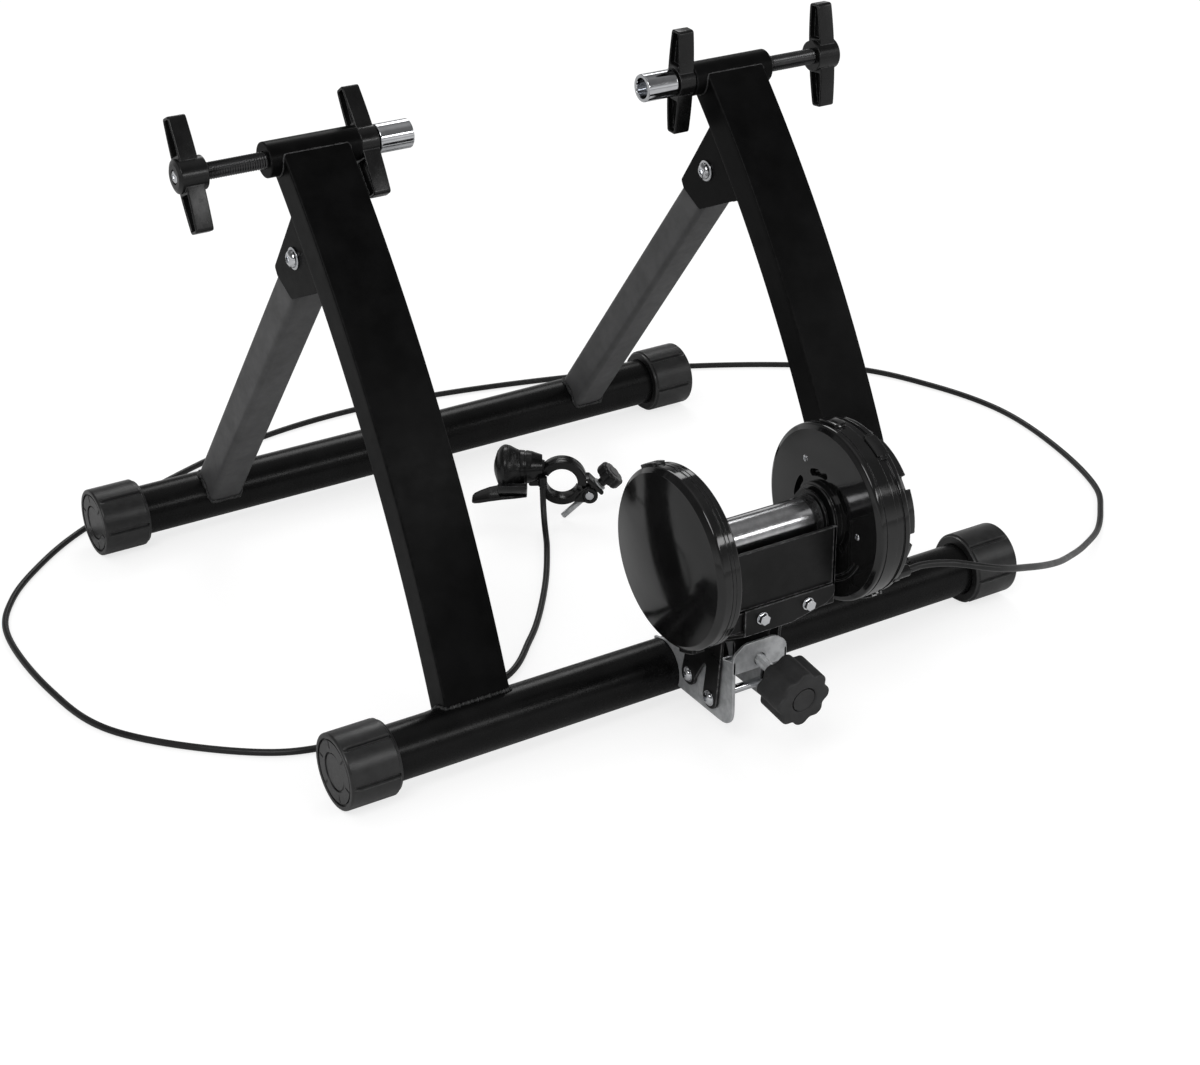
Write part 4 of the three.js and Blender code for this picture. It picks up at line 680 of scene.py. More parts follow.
def upright_arc():
    heel = Vector((UPRIGHT_HEEL, TUBE_Z))
    top = Vector(AXLE)
    chord = top - heel
    radius = chord.length ** 2 / (8 * UPRIGHT_BOW) + UPRIGHT_BOW / 2
    along = chord.normalized()
    rear = Vector((along.y, -along.x))
    centre = (heel + top) / 2 + rear * (radius - UPRIGHT_BOW)
    angle = lambda p: math.atan2(p.y - centre.y, p.x - centre.x)
    return centre, radius, angle(heel), angle(top)


ARC_CENTRE, ARC_R, HEEL_ANGLE, TOP_ANGLE = upright_arc()


def on_upright(angle, offset):
    reach = ARC_R + offset
    return Vector((ARC_CENTRE.x + reach * math.cos(angle), ARC_CENTRE.y + reach * math.sin(angle)))


PIVOT_ANGLE = TOP_ANGLE + PIVOT_DROP / ARC_R
PIVOT = on_upright(PIVOT_ANGLE, -(UPRIGHT_HALF_DEPTH + PIVOT_STANDOFF))
LEG_TILT = math.atan2(FOOT_SPREAD - PIVOT.x, PIVOT.y - TUBE_Z)
LEG_SPAN = math.hypot(FOOT_SPREAD - PIVOT.x, PIVOT.y - TUBE_Z)


def cope_angle(offset, centre, radius, inside, outside):
    """Where the upright's line at that offset meets a round tube."""
    for _ in range(36):
        middle = (inside + outside) / 2
        if (on_upright(middle, offset) - centre).length < radius:
            inside = middle
        else:
            outside = middle
    return outside


def box_section(half_u, half_v, corner, sides=8):
    """A rounded rectangle with extra points along its short sides."""
    points = []
    for cu, cv, start in ((1, 1, 0), (-1, 1, 90), (-1, -1, 180), (1, -1, 270)):
        centre = (cu * (half_u - corner), cv * (half_v - corner))
        points += arc(corner, start, start + 90, centre, 13)
        if start in (90, 270):
            flat = 2 * (half_v - corner)
            for k in range(1, sides):
                points.append(points[-k] + Vector((0, (-1 if start == 90 else 1) * flat * k / sides)))
    return points


def upright_ends(section, tube_r, sleeve_r):
    ends = []
    heel = Vector((0, TUBE_Z))
    top = Vector(AXLE)
    for _, offset in section:
        low = cope_angle(offset, heel, tube_r, HEEL_ANGLE, HEEL_ANGLE - 45 / ARC_R)
        high = cope_angle(offset, top, sleeve_r, TOP_ANGLE, TOP_ANGLE + 30 / ARC_R)
        ends.append((low, high))
    return ends


def build_upright(mesh):
    section = box_section(UPRIGHT_HALF_WIDTH, UPRIGHT_HALF_DEPTH, 1.3)
    ends = upright_ends(section, TUBE_R - 0.5, SLEEVE_R - 0.15)
    steps = 56
    rings = []
    for i in range(steps + 1):
        share = i / steps
        ring = []
        for (x, offset), (low, high) in zip(section, ends):
            point = on_upright(low + (high - low) * share, offset)
            ring.append(Vector((x, point.x, point.y)))
        rings.append(ring)
    add_loft(mesh, rings)


def bead_radius(seed, size):
    """A weld bead's uneven radius along its path."""
    return lambda i: size * (0.9 + 0.75 * noise.noise(Vector((i * 0.53, seed, 0.7)))
                             + 0.3 * noise.noise(Vector((i * 1.9, seed, 3.1))))


def finer(path, spacing=0.9):
    """The closed path's points at an even spacing."""
    out = []
    for a, b in zip(path, path[1:] + path[:1]):
        steps = max(1, round((b - a).length / spacing))
        out += [a.lerp(b, k / steps) for k in range(steps)]
    return out


def build_upright_welds(mesh):
    section = box_section(UPRIGHT_HALF_WIDTH + 0.5, UPRIGHT_HALF_DEPTH - 0.2, 2.4)
    low = []
    high = []
    for (x, offset), (foot, top) in zip(section, upright_ends(section, TUBE_R + 0.4, SLEEVE_R + 0.1)):
        at = on_upright(foot, offset)
        low.append(Vector((x, at.x, at.y)))
        at = on_upright(top, offset)
        high.append(Vector((x, at.x, at.y)))
    add_rope(mesh, finer(low, 0.6), bead_radius(1.3, 1.5))
    add_rope(mesh, finer(high), bead_radius(4.1, 0.6))


def gusset_point(rise, reach):
    out = (ARC_CENTRE - PIVOT).normalized()
    up = Vector((-out.y, out.x))
    return PIVOT + up * rise + out * reach


def build_gusset(mesh):
    rear = UPRIGHT_HALF_DEPTH + 0.1
    top = PIVOT_ANGLE - 27.7 / ARC_R
    heel = PIVOT_ANGLE + 37.2 / ARC_R
    back = [on_upright(heel + (top - heel) * k / 12, -rear) for k in range(13)]
    corners = [(*gusset_point(rise, reach), corner)
               for rise, reach, corner in ((8.4, 35.7, 3), (1.5, 36.8, 3), (-19.6, 27.5, 4))]
    outline = back + corners
    for low, high in ((-GUSSET_OUTER, -GUSSET_INNER), (GUSSET_INNER, GUSSET_OUTER)):
        add_plate(mesh, [outline, circle(4.3, PIVOT, 32)], low, high, "x", 0.5)
    inner = [on_upright(top + (heel - top) * k / 12, -rear - GUSSET_SHEET) for k in range(13)]
    add_plate(mesh, [back + inner], -GUSSET_OUTER + 0.4, GUSSET_OUTER - 0.4, "x", 0.3)


def build_gusset_welds(mesh):
    for sign in (-1, 1):
        path = []
        for k in range(60):
            at = on_upright(PIVOT_ANGLE + (-26 + 62 * k / 59) / ARC_R, -UPRIGHT_HALF_DEPTH - 0.4)
            path.append(Vector((sign * (GUSSET_OUTER + 0.3), at.x, at.y)))
        add_rope(mesh, path, bead_radius(2.0 + sign, 0.95), 8, False)


DOME = [(0.0, 0.0), (0.03, 0.3), (0.12, 0.55), (0.3, 0.77), (0.55, 0.91), (0.8, 0.98), (1.0, 1.0)]


def domed(start, end, radius, socket=2.1):
    """A dome from its top to its rim, with a hexagon-like recess in its middle."""
    span = end - start
    head = [(start + 0.45 * span, 0), (start + 0.45 * span, socket), (start + 0.05 * span, socket + 0.1)]
    return head + [(start + span * a, radius * b) for a, b in DOME if radius * b > socket + 0.3]


def socket_shape(socket):
    """Turns the round recess of a domed head into a hexagon."""
    def warp(x, r, angle):
        if abs(r - socket) < 0.11:
            part = (math.degrees(angle) % 60) - 30
            return x, r * math.cos(math.radians(30)) / math.cos(math.radians(part)) * 1.08
        return x, r
    return warp


def build_pivot_bolt(mesh):
    seat = -GUSSET_OUTER - 0.1
    rim = seat - 1.3
    end = GUSSET_OUTER + 3.6
    washer = [(rim, 7.2), (rim + 0.3, 7.8, 0.3), (seat, 7.8, 0.2)]
    add_lathe(mesh, domed(rim - 3.9, rim, 6.2) + washer + [(seat, 4), (end, 4), (end, 0)], 72, None,
              socket_shape(2.1))


def build_pivot_nut(mesh):
    seat = GUSSET_OUTER + 0.1
    rim = seat + 1.3
    washer = [(seat, 4.3), (seat, 7.8, 0.2), (rim - 0.3, 7.8, 0.3), (rim, 7.2)]
    add_lathe(mesh, washer + domed(rim + 5.4, rim, 6.2, 0.4)[::-1], 72)


def make_uprights():
    for side, sign in BOTH:
        place = shift(sign * UPRIGHT_X, 0, 0)
        pivot = place @ shift(0, *PIVOT)
        make_piece(f"curved_upright_{side}", build_upright, "black", f"upright_{side}", place, smooth=30)
        make_piece(f"upright_welds_{side}", build_upright_welds, "weld", None, place, "frame", 60)
        make_piece(f"gusset_{side}", build_gusset, "black", f"pivot_bracket_{side}", place)
        make_piece(f"gusset_welds_{side}", build_gusset_welds, "weld", None, place, "frame", 60)
        make_piece(f"pivot_dome_{side}", build_pivot_bolt, "chrome", f"pivot_bolt_{side}", pivot)
        make_piece(f"pivot_cap_{side}", build_pivot_nut, "chrome", f"pivot_nut_{side}", pivot)


def leg_top(y):
    """Height of the leg's mitred end at a distance behind its middle line."""
    clear = PIVOT_STANDOFF - GUSSET_SHEET - 0.9
    lean = math.pi / 2 - LEG_TILT - math.atan2(PIVOT.y - ARC_CENTRE.y, ARC_CENTRE.x - PIVOT.x)
    passing = math.sqrt(clear ** 2 - LEG_HALF ** 2) - 0.3
    corner = (-clear * math.sin(lean), clear * math.cos(lean))
    upper = (clear + LEG_HALF * math.sin(lean)) / math.cos(lean)
    (y0, z0), (y1, z1) = ((-LEG_HALF, passing), corner) if y < corner[0] else (corner, (LEG_HALF, upper))
    return z0 + (z1 - z0) * (y - y0) / (y1 - y0)


def build_leg(mesh):
    section = box_section(LEG_HALF, LEG_HALF, 4.2)
    rings = []
    for share in (0, 0.002, 0.25, 0.5, 0.75, 0.998, 1):
        ring = []
        for x, y in section:
            low = -LEG_SPAN + math.sqrt((TUBE_R - 0.3) ** 2 - y * y)
            ring.append(Vector((x, y, low + (leg_top(y) - low) * share)))
        rings.append(ring)
    inner = box_section(LEG_HALF - 1.6, LEG_HALF - 1.6, 2.6)
    rings.append([Vector((x, y, leg_top(y))) for x, y in inner])
    rings.append([Vector((x, y, leg_top(y) - 40)) for x, y in inner])
    add_loft(mesh, rings, (False, True))


def build_leg_weld(mesh):
    path = []
    for x, y in box_section(LEG_HALF + 0.6, LEG_HALF + 0.6, 4.8):
        path.append(Vector((x, y, -LEG_SPAN + math.sqrt((TUBE_R + 0.3) ** 2 - y * y))))
    add_rope(mesh, finer(path), bead_radius(0.6, 1.4))


def make_legs():
    for side, sign in BOTH:
        place = shift(sign * UPRIGHT_X, *PIVOT) @ Matrix.Rotation(LEG_TILT, 4, "X")
        make_piece(f"folding_leg_{side}", build_leg, "grey", f"leg_{side}", place, smooth=30)
        make_piece(f"leg_weld_{side}", build_leg_weld, "weld", None, place, "leg_frame", 60)


# Clamps, built for the left side with +X pointing in at the wheel: where each piece starts and ends
SLEEVE = (-199.5, -133.5)
LOCK = (-133.2, -120.0)
CUP = (-118.6, -93.5)
HANDLE = (-262.3, -242.3)
WING_TILTS = {"left": (-25, -33), "right": (5, -4)}
WING_BOW = (7.6, 7.4, 7.1, 6.7, 6.2, 5.6)
WING_HALF = 6.3
CUP_R = 10
CUP_BORE_R = 7.25
CUP_BORE_DEPTH = 13.5


def add_wings(mesh, ends, tilt):
    """Two wings with curved sides, each with a pocket on either face."""
    place = shift(sum(ends) / 2, 0, 0) @ turn(tilt, "X")
    side = [(bow, 8.4 + 29.6 * k / 6) for k, bow in enumerate(WING_BOW)] + [(4.9, 38, 2.6)]
    half = side + [(-x, *rest) for x, *rest in side[::-1]]
    outer = rounded(half + [(-x, -y, *rest) for x, y, *rest in half])
    pockets = []
    for sign in (1, -1):
        edge = [(WING_BOW[k] - 1.7, sign * (12.8 + 23 * (k - 1) / 5)) for k in range(1, 6)]
        edge = [(*edge[0], 1.2)] + edge[1:] + [(3.4, sign * 36.0, 1.4)]
        pockets.append(edge + [(-x, *rest) for x, *rest in edge[::-1]])
    add_plate(mesh, [outer] + pockets, -WING_HALF, WING_HALF, "x", 0.9, 4, place)
    add_plate(mesh, [shrunk(wound(outer, True), 0.9)], -1.9, 1.9, "x", 0.2, 1, place)


def build_handle(mesh, tilt):
    low, high = HANDLE
    add_wings(mesh, HANDLE, tilt)
    add_lathe(mesh, [(low + 0.9, 0), (low + 0.9, 4.6), (low, 5.0, 0.3), (low, 8.2, 1.0),
                     (low + 1.4, 11.3, 1.0), (high, 11.3, 0.8), (high, 5.6)])


def build_lock(mesh, tilt):
    add_wings(mesh, LOCK, tilt)
    add_collar(mesh, *LOCK, 6.15, 11, 0.7, 96)


def make_clamps():
    back, face = CUP
    cup = turned([(back + 7, 0), (back + 7, 6.15), (back, 6.15), (back, CUP_R, 0.9), (face, CUP_R, 0.9),
                  (face, CUP_BORE_R + 0.35, 0.4), (face - 0.9, CUP_BORE_R, 0.2),
                  (face - CUP_BORE_DEPTH, CUP_BORE_R, 0.3), (face - CUP_BORE_DEPTH, 0)])
    sleeve = lambda mesh: add_collar(mesh, *SLEEVE, 6.2, SLEEVE_R, 0.8, 96)
    screw = lambda mesh: add_thread(mesh, SCREW_R, SCREW_PITCH, HANDLE[1] - 14, back + 6.7)
    end = HANDLE[0]
    cap = turned(domed(end - 0.6, end + 1.0, 4.3, 1.5) + [(end + 1.6, 4.3), (end + 1.6, 0)], 64, None,
                 socket_shape(1.5))
    for side, (handle_tilt, lock_tilt) in WING_TILTS.items():
        place = shift(0, *AXLE) @ turn(180 if side == "right" else 0, "Z")
        make_piece(f"sleeve_{side}", sleeve, "black", f"clamp_sleeve_{side}", place)
        make_piece(f"cup_{side}", cup, "chrome", f"axle_cup_{side}", place)
        make_piece(f"m12_screw_{side}", screw, "dark_steel", f"clamp_screw_{side}", place, smooth=75)
        make_piece(f"winged_handle_{side}", lambda mesh: build_handle(mesh, handle_tilt), "matte",
                   f"clamp_handle_{side}", place)
        make_piece(f"winged_lock_nut_{side}", lambda mesh: build_lock(mesh, lock_tilt), "matte",
                   f"lock_nut_{side}", place)
        make_piece(f"handle_cap_{side}", cap, "chrome", None, place, f"{side}_screw")


# Mount on the front tube
SWING_PIVOT = (-33.4, 10.1)
GUIDE = (-58.6, 4.0)
BRACKET_FRONT = -81.5
TENSION_TILT = 8
TENSION_HEIGHT = 37
FOOT_GAP = 0.5
LIP_BOLTS = (-15.0, 21.0)
CHEEK = (19.4, 21.5)
ARM = (21.8, 24.2)
FLOOR_UNDER = 87.82
ARM_FRONT = -72.2
LIP_FRONT = -102.7


def build_bracket(mesh):
    wrap = arc(TUBE_R + 0.1, 205.5, 51.6, step=4)
    front = BRACKET_FRONT
    outline = [Vector((12, 17)), Vector((front, 40))]
    outline += rounded([(front, 38), (front, -10.2, 14), (-17.5, -8.2)], steps=9)[1:]
    outline += wrap
    reach = math.hypot(SWING_PIVOT[0] - GUIDE[0], SWING_PIVOT[1] - GUIDE[1])
    slot = round_slot(reach, 3.3, 193.6 - 13, 193.6 + 13, SWING_PIVOT)
    hole = circle(3.3, SWING_PIVOT, 24)
    for low, high in ((-CHEEK[1], -CHEEK[0]), CHEEK):
        add_plate(mesh, [outline, slot, hole], low, high, "x", 0.35)
    web = [(-21.4, 31, 1), (21.4, 31, 1), (21.4, 45, 9), (12, 51.5, 9), (-12, 51.5, 9), (-21.4, 45, 9)]
    add_plate(mesh, [web, circle(4.4, (0, 37.3), 32)], front, front + 2.1, "y", 0.4)


def build_arm(mesh):
    wrap_guide = arc(8, 180, 360, GUIDE, 10)
    wrap_pivot = arc(8, 180, 360, SWING_PIVOT, 10)
    inner = -97.2
    sheet = 2.4
    outline = [(-46, 87.5), (inner, 87.5), (inner, 71.5), (ARM_FRONT, 54)] + wrap_guide
    outline += rounded([(-50.6, 4), (-55.5, 33, 3), (-41.4, 10.1)])[1:-1] + wrap_pivot
    for low, high in ((-ARM[1], -ARM[0]), ARM):
        add_plate(mesh, [outline], low, high, "x", 0.5)
    side = ARM[1]
    neck = [(-14, 27, 3), (14, 27, 3), (14, 50.5, 3), (side, 52.4), (side, 54.5), (-side, 54.5),
            (-side, 52.4), (-14, 50.5, 3)]
    add_plate(mesh, [neck], ARM_FRONT, ARM_FRONT + sheet, "y", 0.4)
    rise = 17.82
    run = ARM_FRONT - LIP_FRONT
    slope = math.hypot(rise, run)
    place = shift(0, ARM_FRONT, 54) @ Matrix.Rotation(math.atan2(run, rise), 4, "X")
    face = [(-side, -0.3), (side, -0.3), (side, 8, 6), (12, slope - 3, 4), (10, slope), (-28, slope),
            (-26, 8, 6)]
    add_plate(mesh, [face], 0, sheet, "y", 0.4, 3, place)
    lip = [(-28, 71.8), (10, 71.8, 12), (37, 77.6, 4), (43, 82.5, 5), (43, 90.3, 2.5), (-28, 90.3, 1)]
    add_plate(mesh, [lip], LIP_FRONT, LIP_FRONT + sheet, "y", 0.5)
    add_plate(mesh, [rectangle(-28, 43, inner, -46, 2)], FLOOR_UNDER - 2.7, FLOOR_UNDER - 0.3, "z", 0.4)


def cross_pin_builder(half):
    def build(mesh):
        seat = half + 0.1
        top = seat + 3.4
        left = domed(-top, -seat, 4.9, 1.6)
        right = [(-x, r) for x, r in reversed(left)]
        add_lathe(mesh, left + [(-seat, PIN_R), (seat, PIN_R)] + right, 64, None, socket_shape(1.6))
        for sign in (-1, 1):
            low, high = sorted((sign * (seat - 0.05), sign * (seat + 0.7)))
            add_collar(mesh, low, high, PIN_R, 5.6, 0.2)
    return build


def build_lip_bolt(mesh):
    seat = LIP_FRONT - 0.2
    hexagon = [(*circle_point(4.0, 60 * k + 15), 0.3) for k in range(6)]
    add_plate(mesh, [hexagon], seat - 4.2, seat - 0.7, "y", 0.4)
    add_plate(mesh, [circle(4.4)], seat - 0.8, seat, "y", 0.2)
    add_thread(mesh, 2.8, 1.0, seat - 0.5, -97.6, turn(90, "Z"), sides=24)


def knob_outline():
    points = []
    for k in range(192):
        angle = 2 * math.pi * k / 192
        valley = 0.5 - 0.5 * math.cos(8 * angle)
        r = 20.3 - 2.6 * valley ** 1.5
        points.append(Vector((r * math.sin(angle), r * math.cos(angle))))
    return points


def build_knob(mesh):
    front, back = -49.5, -24.0
    along = turn(90, "Z")
    add_plate(mesh, [knob_outline(), circle(8.6)], front, back, "y", 1.7, 5)
    button = [(front + 0.25, 0), (front + 0.25, 8.25, 0.3), (back - 1, 8.25), (back - 1, 4.2)]
    insert = [(back - 1.5, 4.2), (back - 1.5, 8.7), (back - 0.2, 8.7), (back - 0.2, 4.2)]
    for profile in (button, insert):
        add_lathe(mesh, profile, 72, along)


def make_mount():
    base = shift(0, 0, TUBE_Z)
    make_piece("tube_bracket", build_bracket, "zinc", "fixed_bracket", base)
    make_piece("folded_arm", build_arm, "edge_wear_highlight_black", "swing_arm", base)
    for name, node, spot in (("pivot_dome_pin", "swing_pivot_pin", SWING_PIVOT),
                             ("guide_dome_pin", "swing_guide_pin", GUIDE)):
        make_piece(name, cross_pin_builder(ARM[1]), "chrome", node, base @ shift(0, *spot))
    for (side, _), x in zip(BOTH, LIP_BOLTS):
        make_piece(f"hex_bolt_{side}", build_lip_bolt, "chrome", f"cradle_bolt_{side}",
                   base @ shift(x, 0, FLOOR_UNDER - 5.6))
    tension = base @ shift(0, BRACKET_FRONT, TENSION_HEIGHT) @ turn(TENSION_TILT, "X")
    reach = (ARM_FRONT - BRACKET_FRONT - FOOT_GAP) / math.cos(math.radians(TENSION_TILT))
    along = turn(90, "Z")
    disc = reach - 2.6
    tip = [(disc, 0), (disc, 5.2, 0.3), (disc + 1.5, 5.2, 0.6), (disc + 2.3, 3.1, 0.5), (reach, 0.8),
           (reach, 0)]
    bolt = lambda mesh: add_thread(mesh, 3.9, 1.25, -44.5, reach - 2.9, along)
    make_piece("lobed_knob", build_knob, "knob", "tension_knob", tension)
    make_piece("tension_thread", bolt, "zinc", "tension_bolt", tension, smooth=75)
    make_piece("tension_foot_disc", turned(tip, 48, along), "dark_steel", "tension_tip", tension)


# Roller unit, measured from the roller's axis
CRADLE_HALF = 44.8
CRADLE_REACH = 24
SHAFT_BORE_R = 5.3
ROLLER_R = 14
ROLLER_HALF = 35.5
HUB_R = 22.4
COVER_WALL = 2.6
FLYWHEEL_CLIPS = (64, -108)
INNER_CLIPS = (84, -40)
OUTER_CLIPS = (117, -118)
GLAND_R = 50 + 4.2 + 0.9
GLAND = circle_point(GLAND_R, -144)


def build_cradle(mesh):
    floor, top, half, reach = -39.8, 2.7, CRADLE_HALF, CRADLE_REACH
    sheet = 2.5
    add_plate(mesh, [rectangle(-half, half, -reach, reach, 1.5)], floor, floor + sheet, "z", 0.5)
    add_plate(mesh, [rectangle(-half, half, floor - 13.4, top, 1.6)], -reach, sheet - reach, "y", 0.6)
    add_plate(mesh, [rectangle(-half, half, floor, top, 1.6)], reach - sheet, reach, "y", 0.6)
    edge = math.degrees(math.asin(top / 22.6))
    side = [(-reach, floor), (reach, floor), (reach, top)] + arc(22.6, edge, -180 - edge, step=6)
    side.append((-reach, top))
    for low, high in ((-half, sheet - half), (half - sheet, half)):
        add_plate(mesh, [side], low, high, "x", 0.4)


def build_bearing(mesh):
    """The bearing's ring with its stepped cap, from the roller's end to the cradle's wall."""
    inner, wall, bore = 36.1, 42.3, SHAFT_BORE_R
    steps = [(inner, bore), (inner, 13.2, 0.5), (inner + 1.2, 13.2), (inner + 1.2, 14.4, 0.3),
             (inner + 2.2, 14.4), (inner + 2.2, 15.6, 0.5)]
    groove = [(38.9, 15.6, 0.3), (39.0, 14.9, 0.2), (39.5, 14.9, 0.2), (39.6, 15.6, 0.3)]
    flange = [(wall - 2.1, 15.6), (wall - 2.1, 19, 0.5), (wall - 0.3, 19, 0.3), (wall - 0.3, 10)]
    add_lathe(mesh, steps + groove + flange + [(CRADLE_HALF, 10), (CRADLE_HALF, bore), (inner, bore)])


def build_roller(mesh):
    half = [(-ROLLER_HALF, SHAFT_BORE_R), (-ROLLER_HALF, 10.6), (0.9 - ROLLER_HALF, 11.4, 0.4),
            (-ROLLER_HALF, 12.0, 0.3), (-ROLLER_HALF, ROLLER_R, 1.0)]
    add_lathe(mesh, half + [(-x, *rest) for x, *rest in half[::-1]] + half[:1], 128)


def add_clips(mesh, angles, low, high, radius):
    """Raised clips over a housing's seam, curved with its rim."""
    half = math.degrees(8 / radius)
    for angle in angles:
        start, end = angle - half, angle + half
        outline = ring_arc(radius - 2, radius + 2.1, start, end)
        add_plate(mesh, [outline], low, high, "x", 0.7)
        ridge = ring_arc(radius - 2, radius + 1.3, start - 2.5, end + 2.5)
        add_plate(mesh, [ridge], low + 1.6, high - 1.6, "x", 0.6)


def build_flywheel_cover(mesh):
    face, r = -70.5, COVER_R
    edge = r - 3.6
    dome = [(face - 6 * (1 - (k / 14) ** 2.2), edge * k / 14) for k in range(14)]
    rim = [(face - 0.1, edge, 0.7), (face + 0.9, edge + 1.2, 0.6), (face + 3.0, r, 2.2)]
    groove = [(-62.4, r, 0.2), (-62.2, r - 0.5, 0.2), (-61.5, r - 0.5, 0.2), (-61.3, r, 0.2)]
    wall = r - COVER_WALL
    inside = [(-59, r, 0.3), (-59, wall), (face + 4, wall), (face + 1, 40), (face - 2.2, 0)]
    add_lathe(mesh, dome + rim + groove + inside, 192)
    add_clips(mesh, FLYWHEEL_CLIPS, -68, -59.1, r)


def build_flywheel_back(mesh):
    r, seam, back, inside = COVER_R, -58.8, -54.5, -57.1
    wall = r - COVER_WALL
    add_lathe(mesh, [(seam, wall), (seam, r, 0.3), (back, r, 1.4), (back, 46, 0.4), (back + 0.6, 45, 0.4),
                     (back + 0.6, 30, 0.4), (back, 29, 0.4), (back, HUB_R, 0.8), (-45.1, HUB_R, 0.5),
                     (-45.1, SHAFT_BORE_R), (inside, SHAFT_BORE_R), (inside, wall), (seam, wall)], 192)


def brake_face_at(r):
    return 50 + 1.3 * max(0, (r - 23) / 33) ** 2


VENTS = 6
VENT_FIRST = 21.0
VENT_R = 27.8
VENT_HALF = 2.5
VENT_HALF_ANGLE = 14.0
VENT_COLUMNS = 480


def add_vented_ring(mesh, inner, outer, depth):
    """The brake's face round its hub, pierced by curved slots with round ends."""
    columns = []
    pitch = 360 / VENTS
    for k in range(VENT_COLUMNS):
        angle = 360 * k / VENT_COLUMNS
        off = abs((angle - VENT_FIRST + pitch / 2) % pitch - pitch / 2)
        beyond = math.radians(max(0.0, off - VENT_HALF_ANGLE)) * VENT_R
        reach = math.sqrt(max(0.0, VENT_HALF ** 2 - beyond ** 2))
        column = []
        for extra in (0, depth):
            made = []
            for r in (inner, VENT_R - reach, VENT_R + reach, outer):
                if len(made) == 2 and reach == 0:
                    made.append(made[1])
                else:
                    made.append(mesh.verts.new((brake_face_at(r) + extra, *circle_point(r, angle))))
            column.append(made)
        columns.append((column, reach > 0))
    for (a, a_open), (b, b_open) in zip(columns, columns[1:] + columns[:1]):
        for layer in (0, 1):
            for n in (0, 2):
                mesh.faces.new((a[layer][n], b[layer][n], b[layer][n + 1], a[layer][n + 1]))
        for n in range(4):
            if n in (0, 3) or a_open or b_open:
                mesh.faces.new((a[0][n], b[0][n], b[1][n], a[1][n]))


def build_brake_inner(mesh):
    r, start, bore = COVER_R, 31.25, SHAFT_BORE_R
    add_vented_ring(mesh, 22.0, 31.5, 2.4)
    face = [(brake_face_at(start + 24.3 * k / 12), start + 24.3 * k / 12) for k in range(12)]
    rim = [(brake_face_at(56), 56.2, 0.8), (53.4, r, 2.6), (56.4, r, 0.2), (56.6, r - 0.6, 0.2),
           (57.4, r - 0.6, 0.2), (57.6, r, 0.2), (66, r, 0.3), (66, r - COVER_WALL), (53.6, r - COVER_WALL),
           (53.6, start)]
    add_lathe(mesh, face + rim + [face[0]], 192)
    add_lathe(mesh, [(45.1, bore), (45.1, 20.6, 0.4), (45.9, 20.9, 0.2), (46.1, HUB_R, 0.5), (50.6, HUB_R),
                     (50.6, bore), (45.1, bore)], 144)
    # A dark ring just behind the vents, not part of the moulding: painted shade that keeps the slots dark.
    add_plate(mesh, [circle(33, steps=96), circle(21.5, steps=96)], 53.4, 54.2, "x", 0.2)
    for low, high, radius in ((-152, -112, 45), (-150, -116, 41.5)):
        add_plate(mesh, [ring_arc(radius - 0.7, radius + 0.7, low, high)], 49.6, 52, "x", 0.4)
    add_clips(mesh, INNER_CLIPS, 57, 65.9, r)


def build_brake_outer(mesh):
    """The outer half of the brake's housing with the cable's gland."""
    r = 59.4
    wall = r - COVER_WALL
    rim = [(66.3, wall), (66.3, r, 0.3), (70.2, r, 0.4), (70.2, r - 1.1, 0.3), (72.6, r - 1.1, 0.3),
           (72.6, r, 0.4), (76.6, r, 1.5)]
    ledge = [(76.6, 54, 0.4), (75.9, 53.4, 0.3), (75.9, 52, 0.3), (76.6, 51.4, 0.4), (76.6, 18, 0.5)]
    add_lathe(mesh, rim + ledge + [(74, 18), (74, wall), (66.3, wall)], 192)
    add_clips(mesh, OUTER_CLIPS, 66.4, 75.3, r)
    gland = [(74.0, 0), (74.0, 4.9), (78.5, 4.9, 0.5), (78.5, 4.2, 0.3), (87.6, 4.0, 0.4), (88.5, 3.2, 0.3),
             (88.5, CABLE_R), (84, CABLE_R), (84, 0)]
    add_lathe(mesh, gland, 48, shift(0, *GLAND))
    y, z = GLAND
    add_plate(mesh, [rectangle(y - 3, y + 11, z - 3, z + 9, 2)], 74.2, 78, "x", 0.6)


def build_case_screws(mesh):
    for angle in (59, 182, 304):
        y, z = circle_point(37.5, angle)
        place = shift(brake_face_at(37.5) - 50, y, z)
        add_lathe(mesh, domed(49.3, 50.5, 2.5, 0.9) + [(51, 2.5), (51, 0)], 40, place, socket_shape(0.9))


def dial_outline():
    points = []
    for k in range(8):
        middle = 90 + 45 * (k + 0.2)
        half = math.degrees(math.asin(4.5 / 50))
        axis = Vector(circle_point(1, middle))
        side = Vector((-axis.y, axis.x))
        for out, across, corner in ((49.8, -4.5, 1.2), (45, -4.3, 1.2), (45, 4.3, 1.2), (49.8, 4.5, 1.2)):
            points.append((*(axis * out + side * across), corner))
        points += arc(50, middle + half + 1.4, middle + 45 - half - 1.4)
    return points


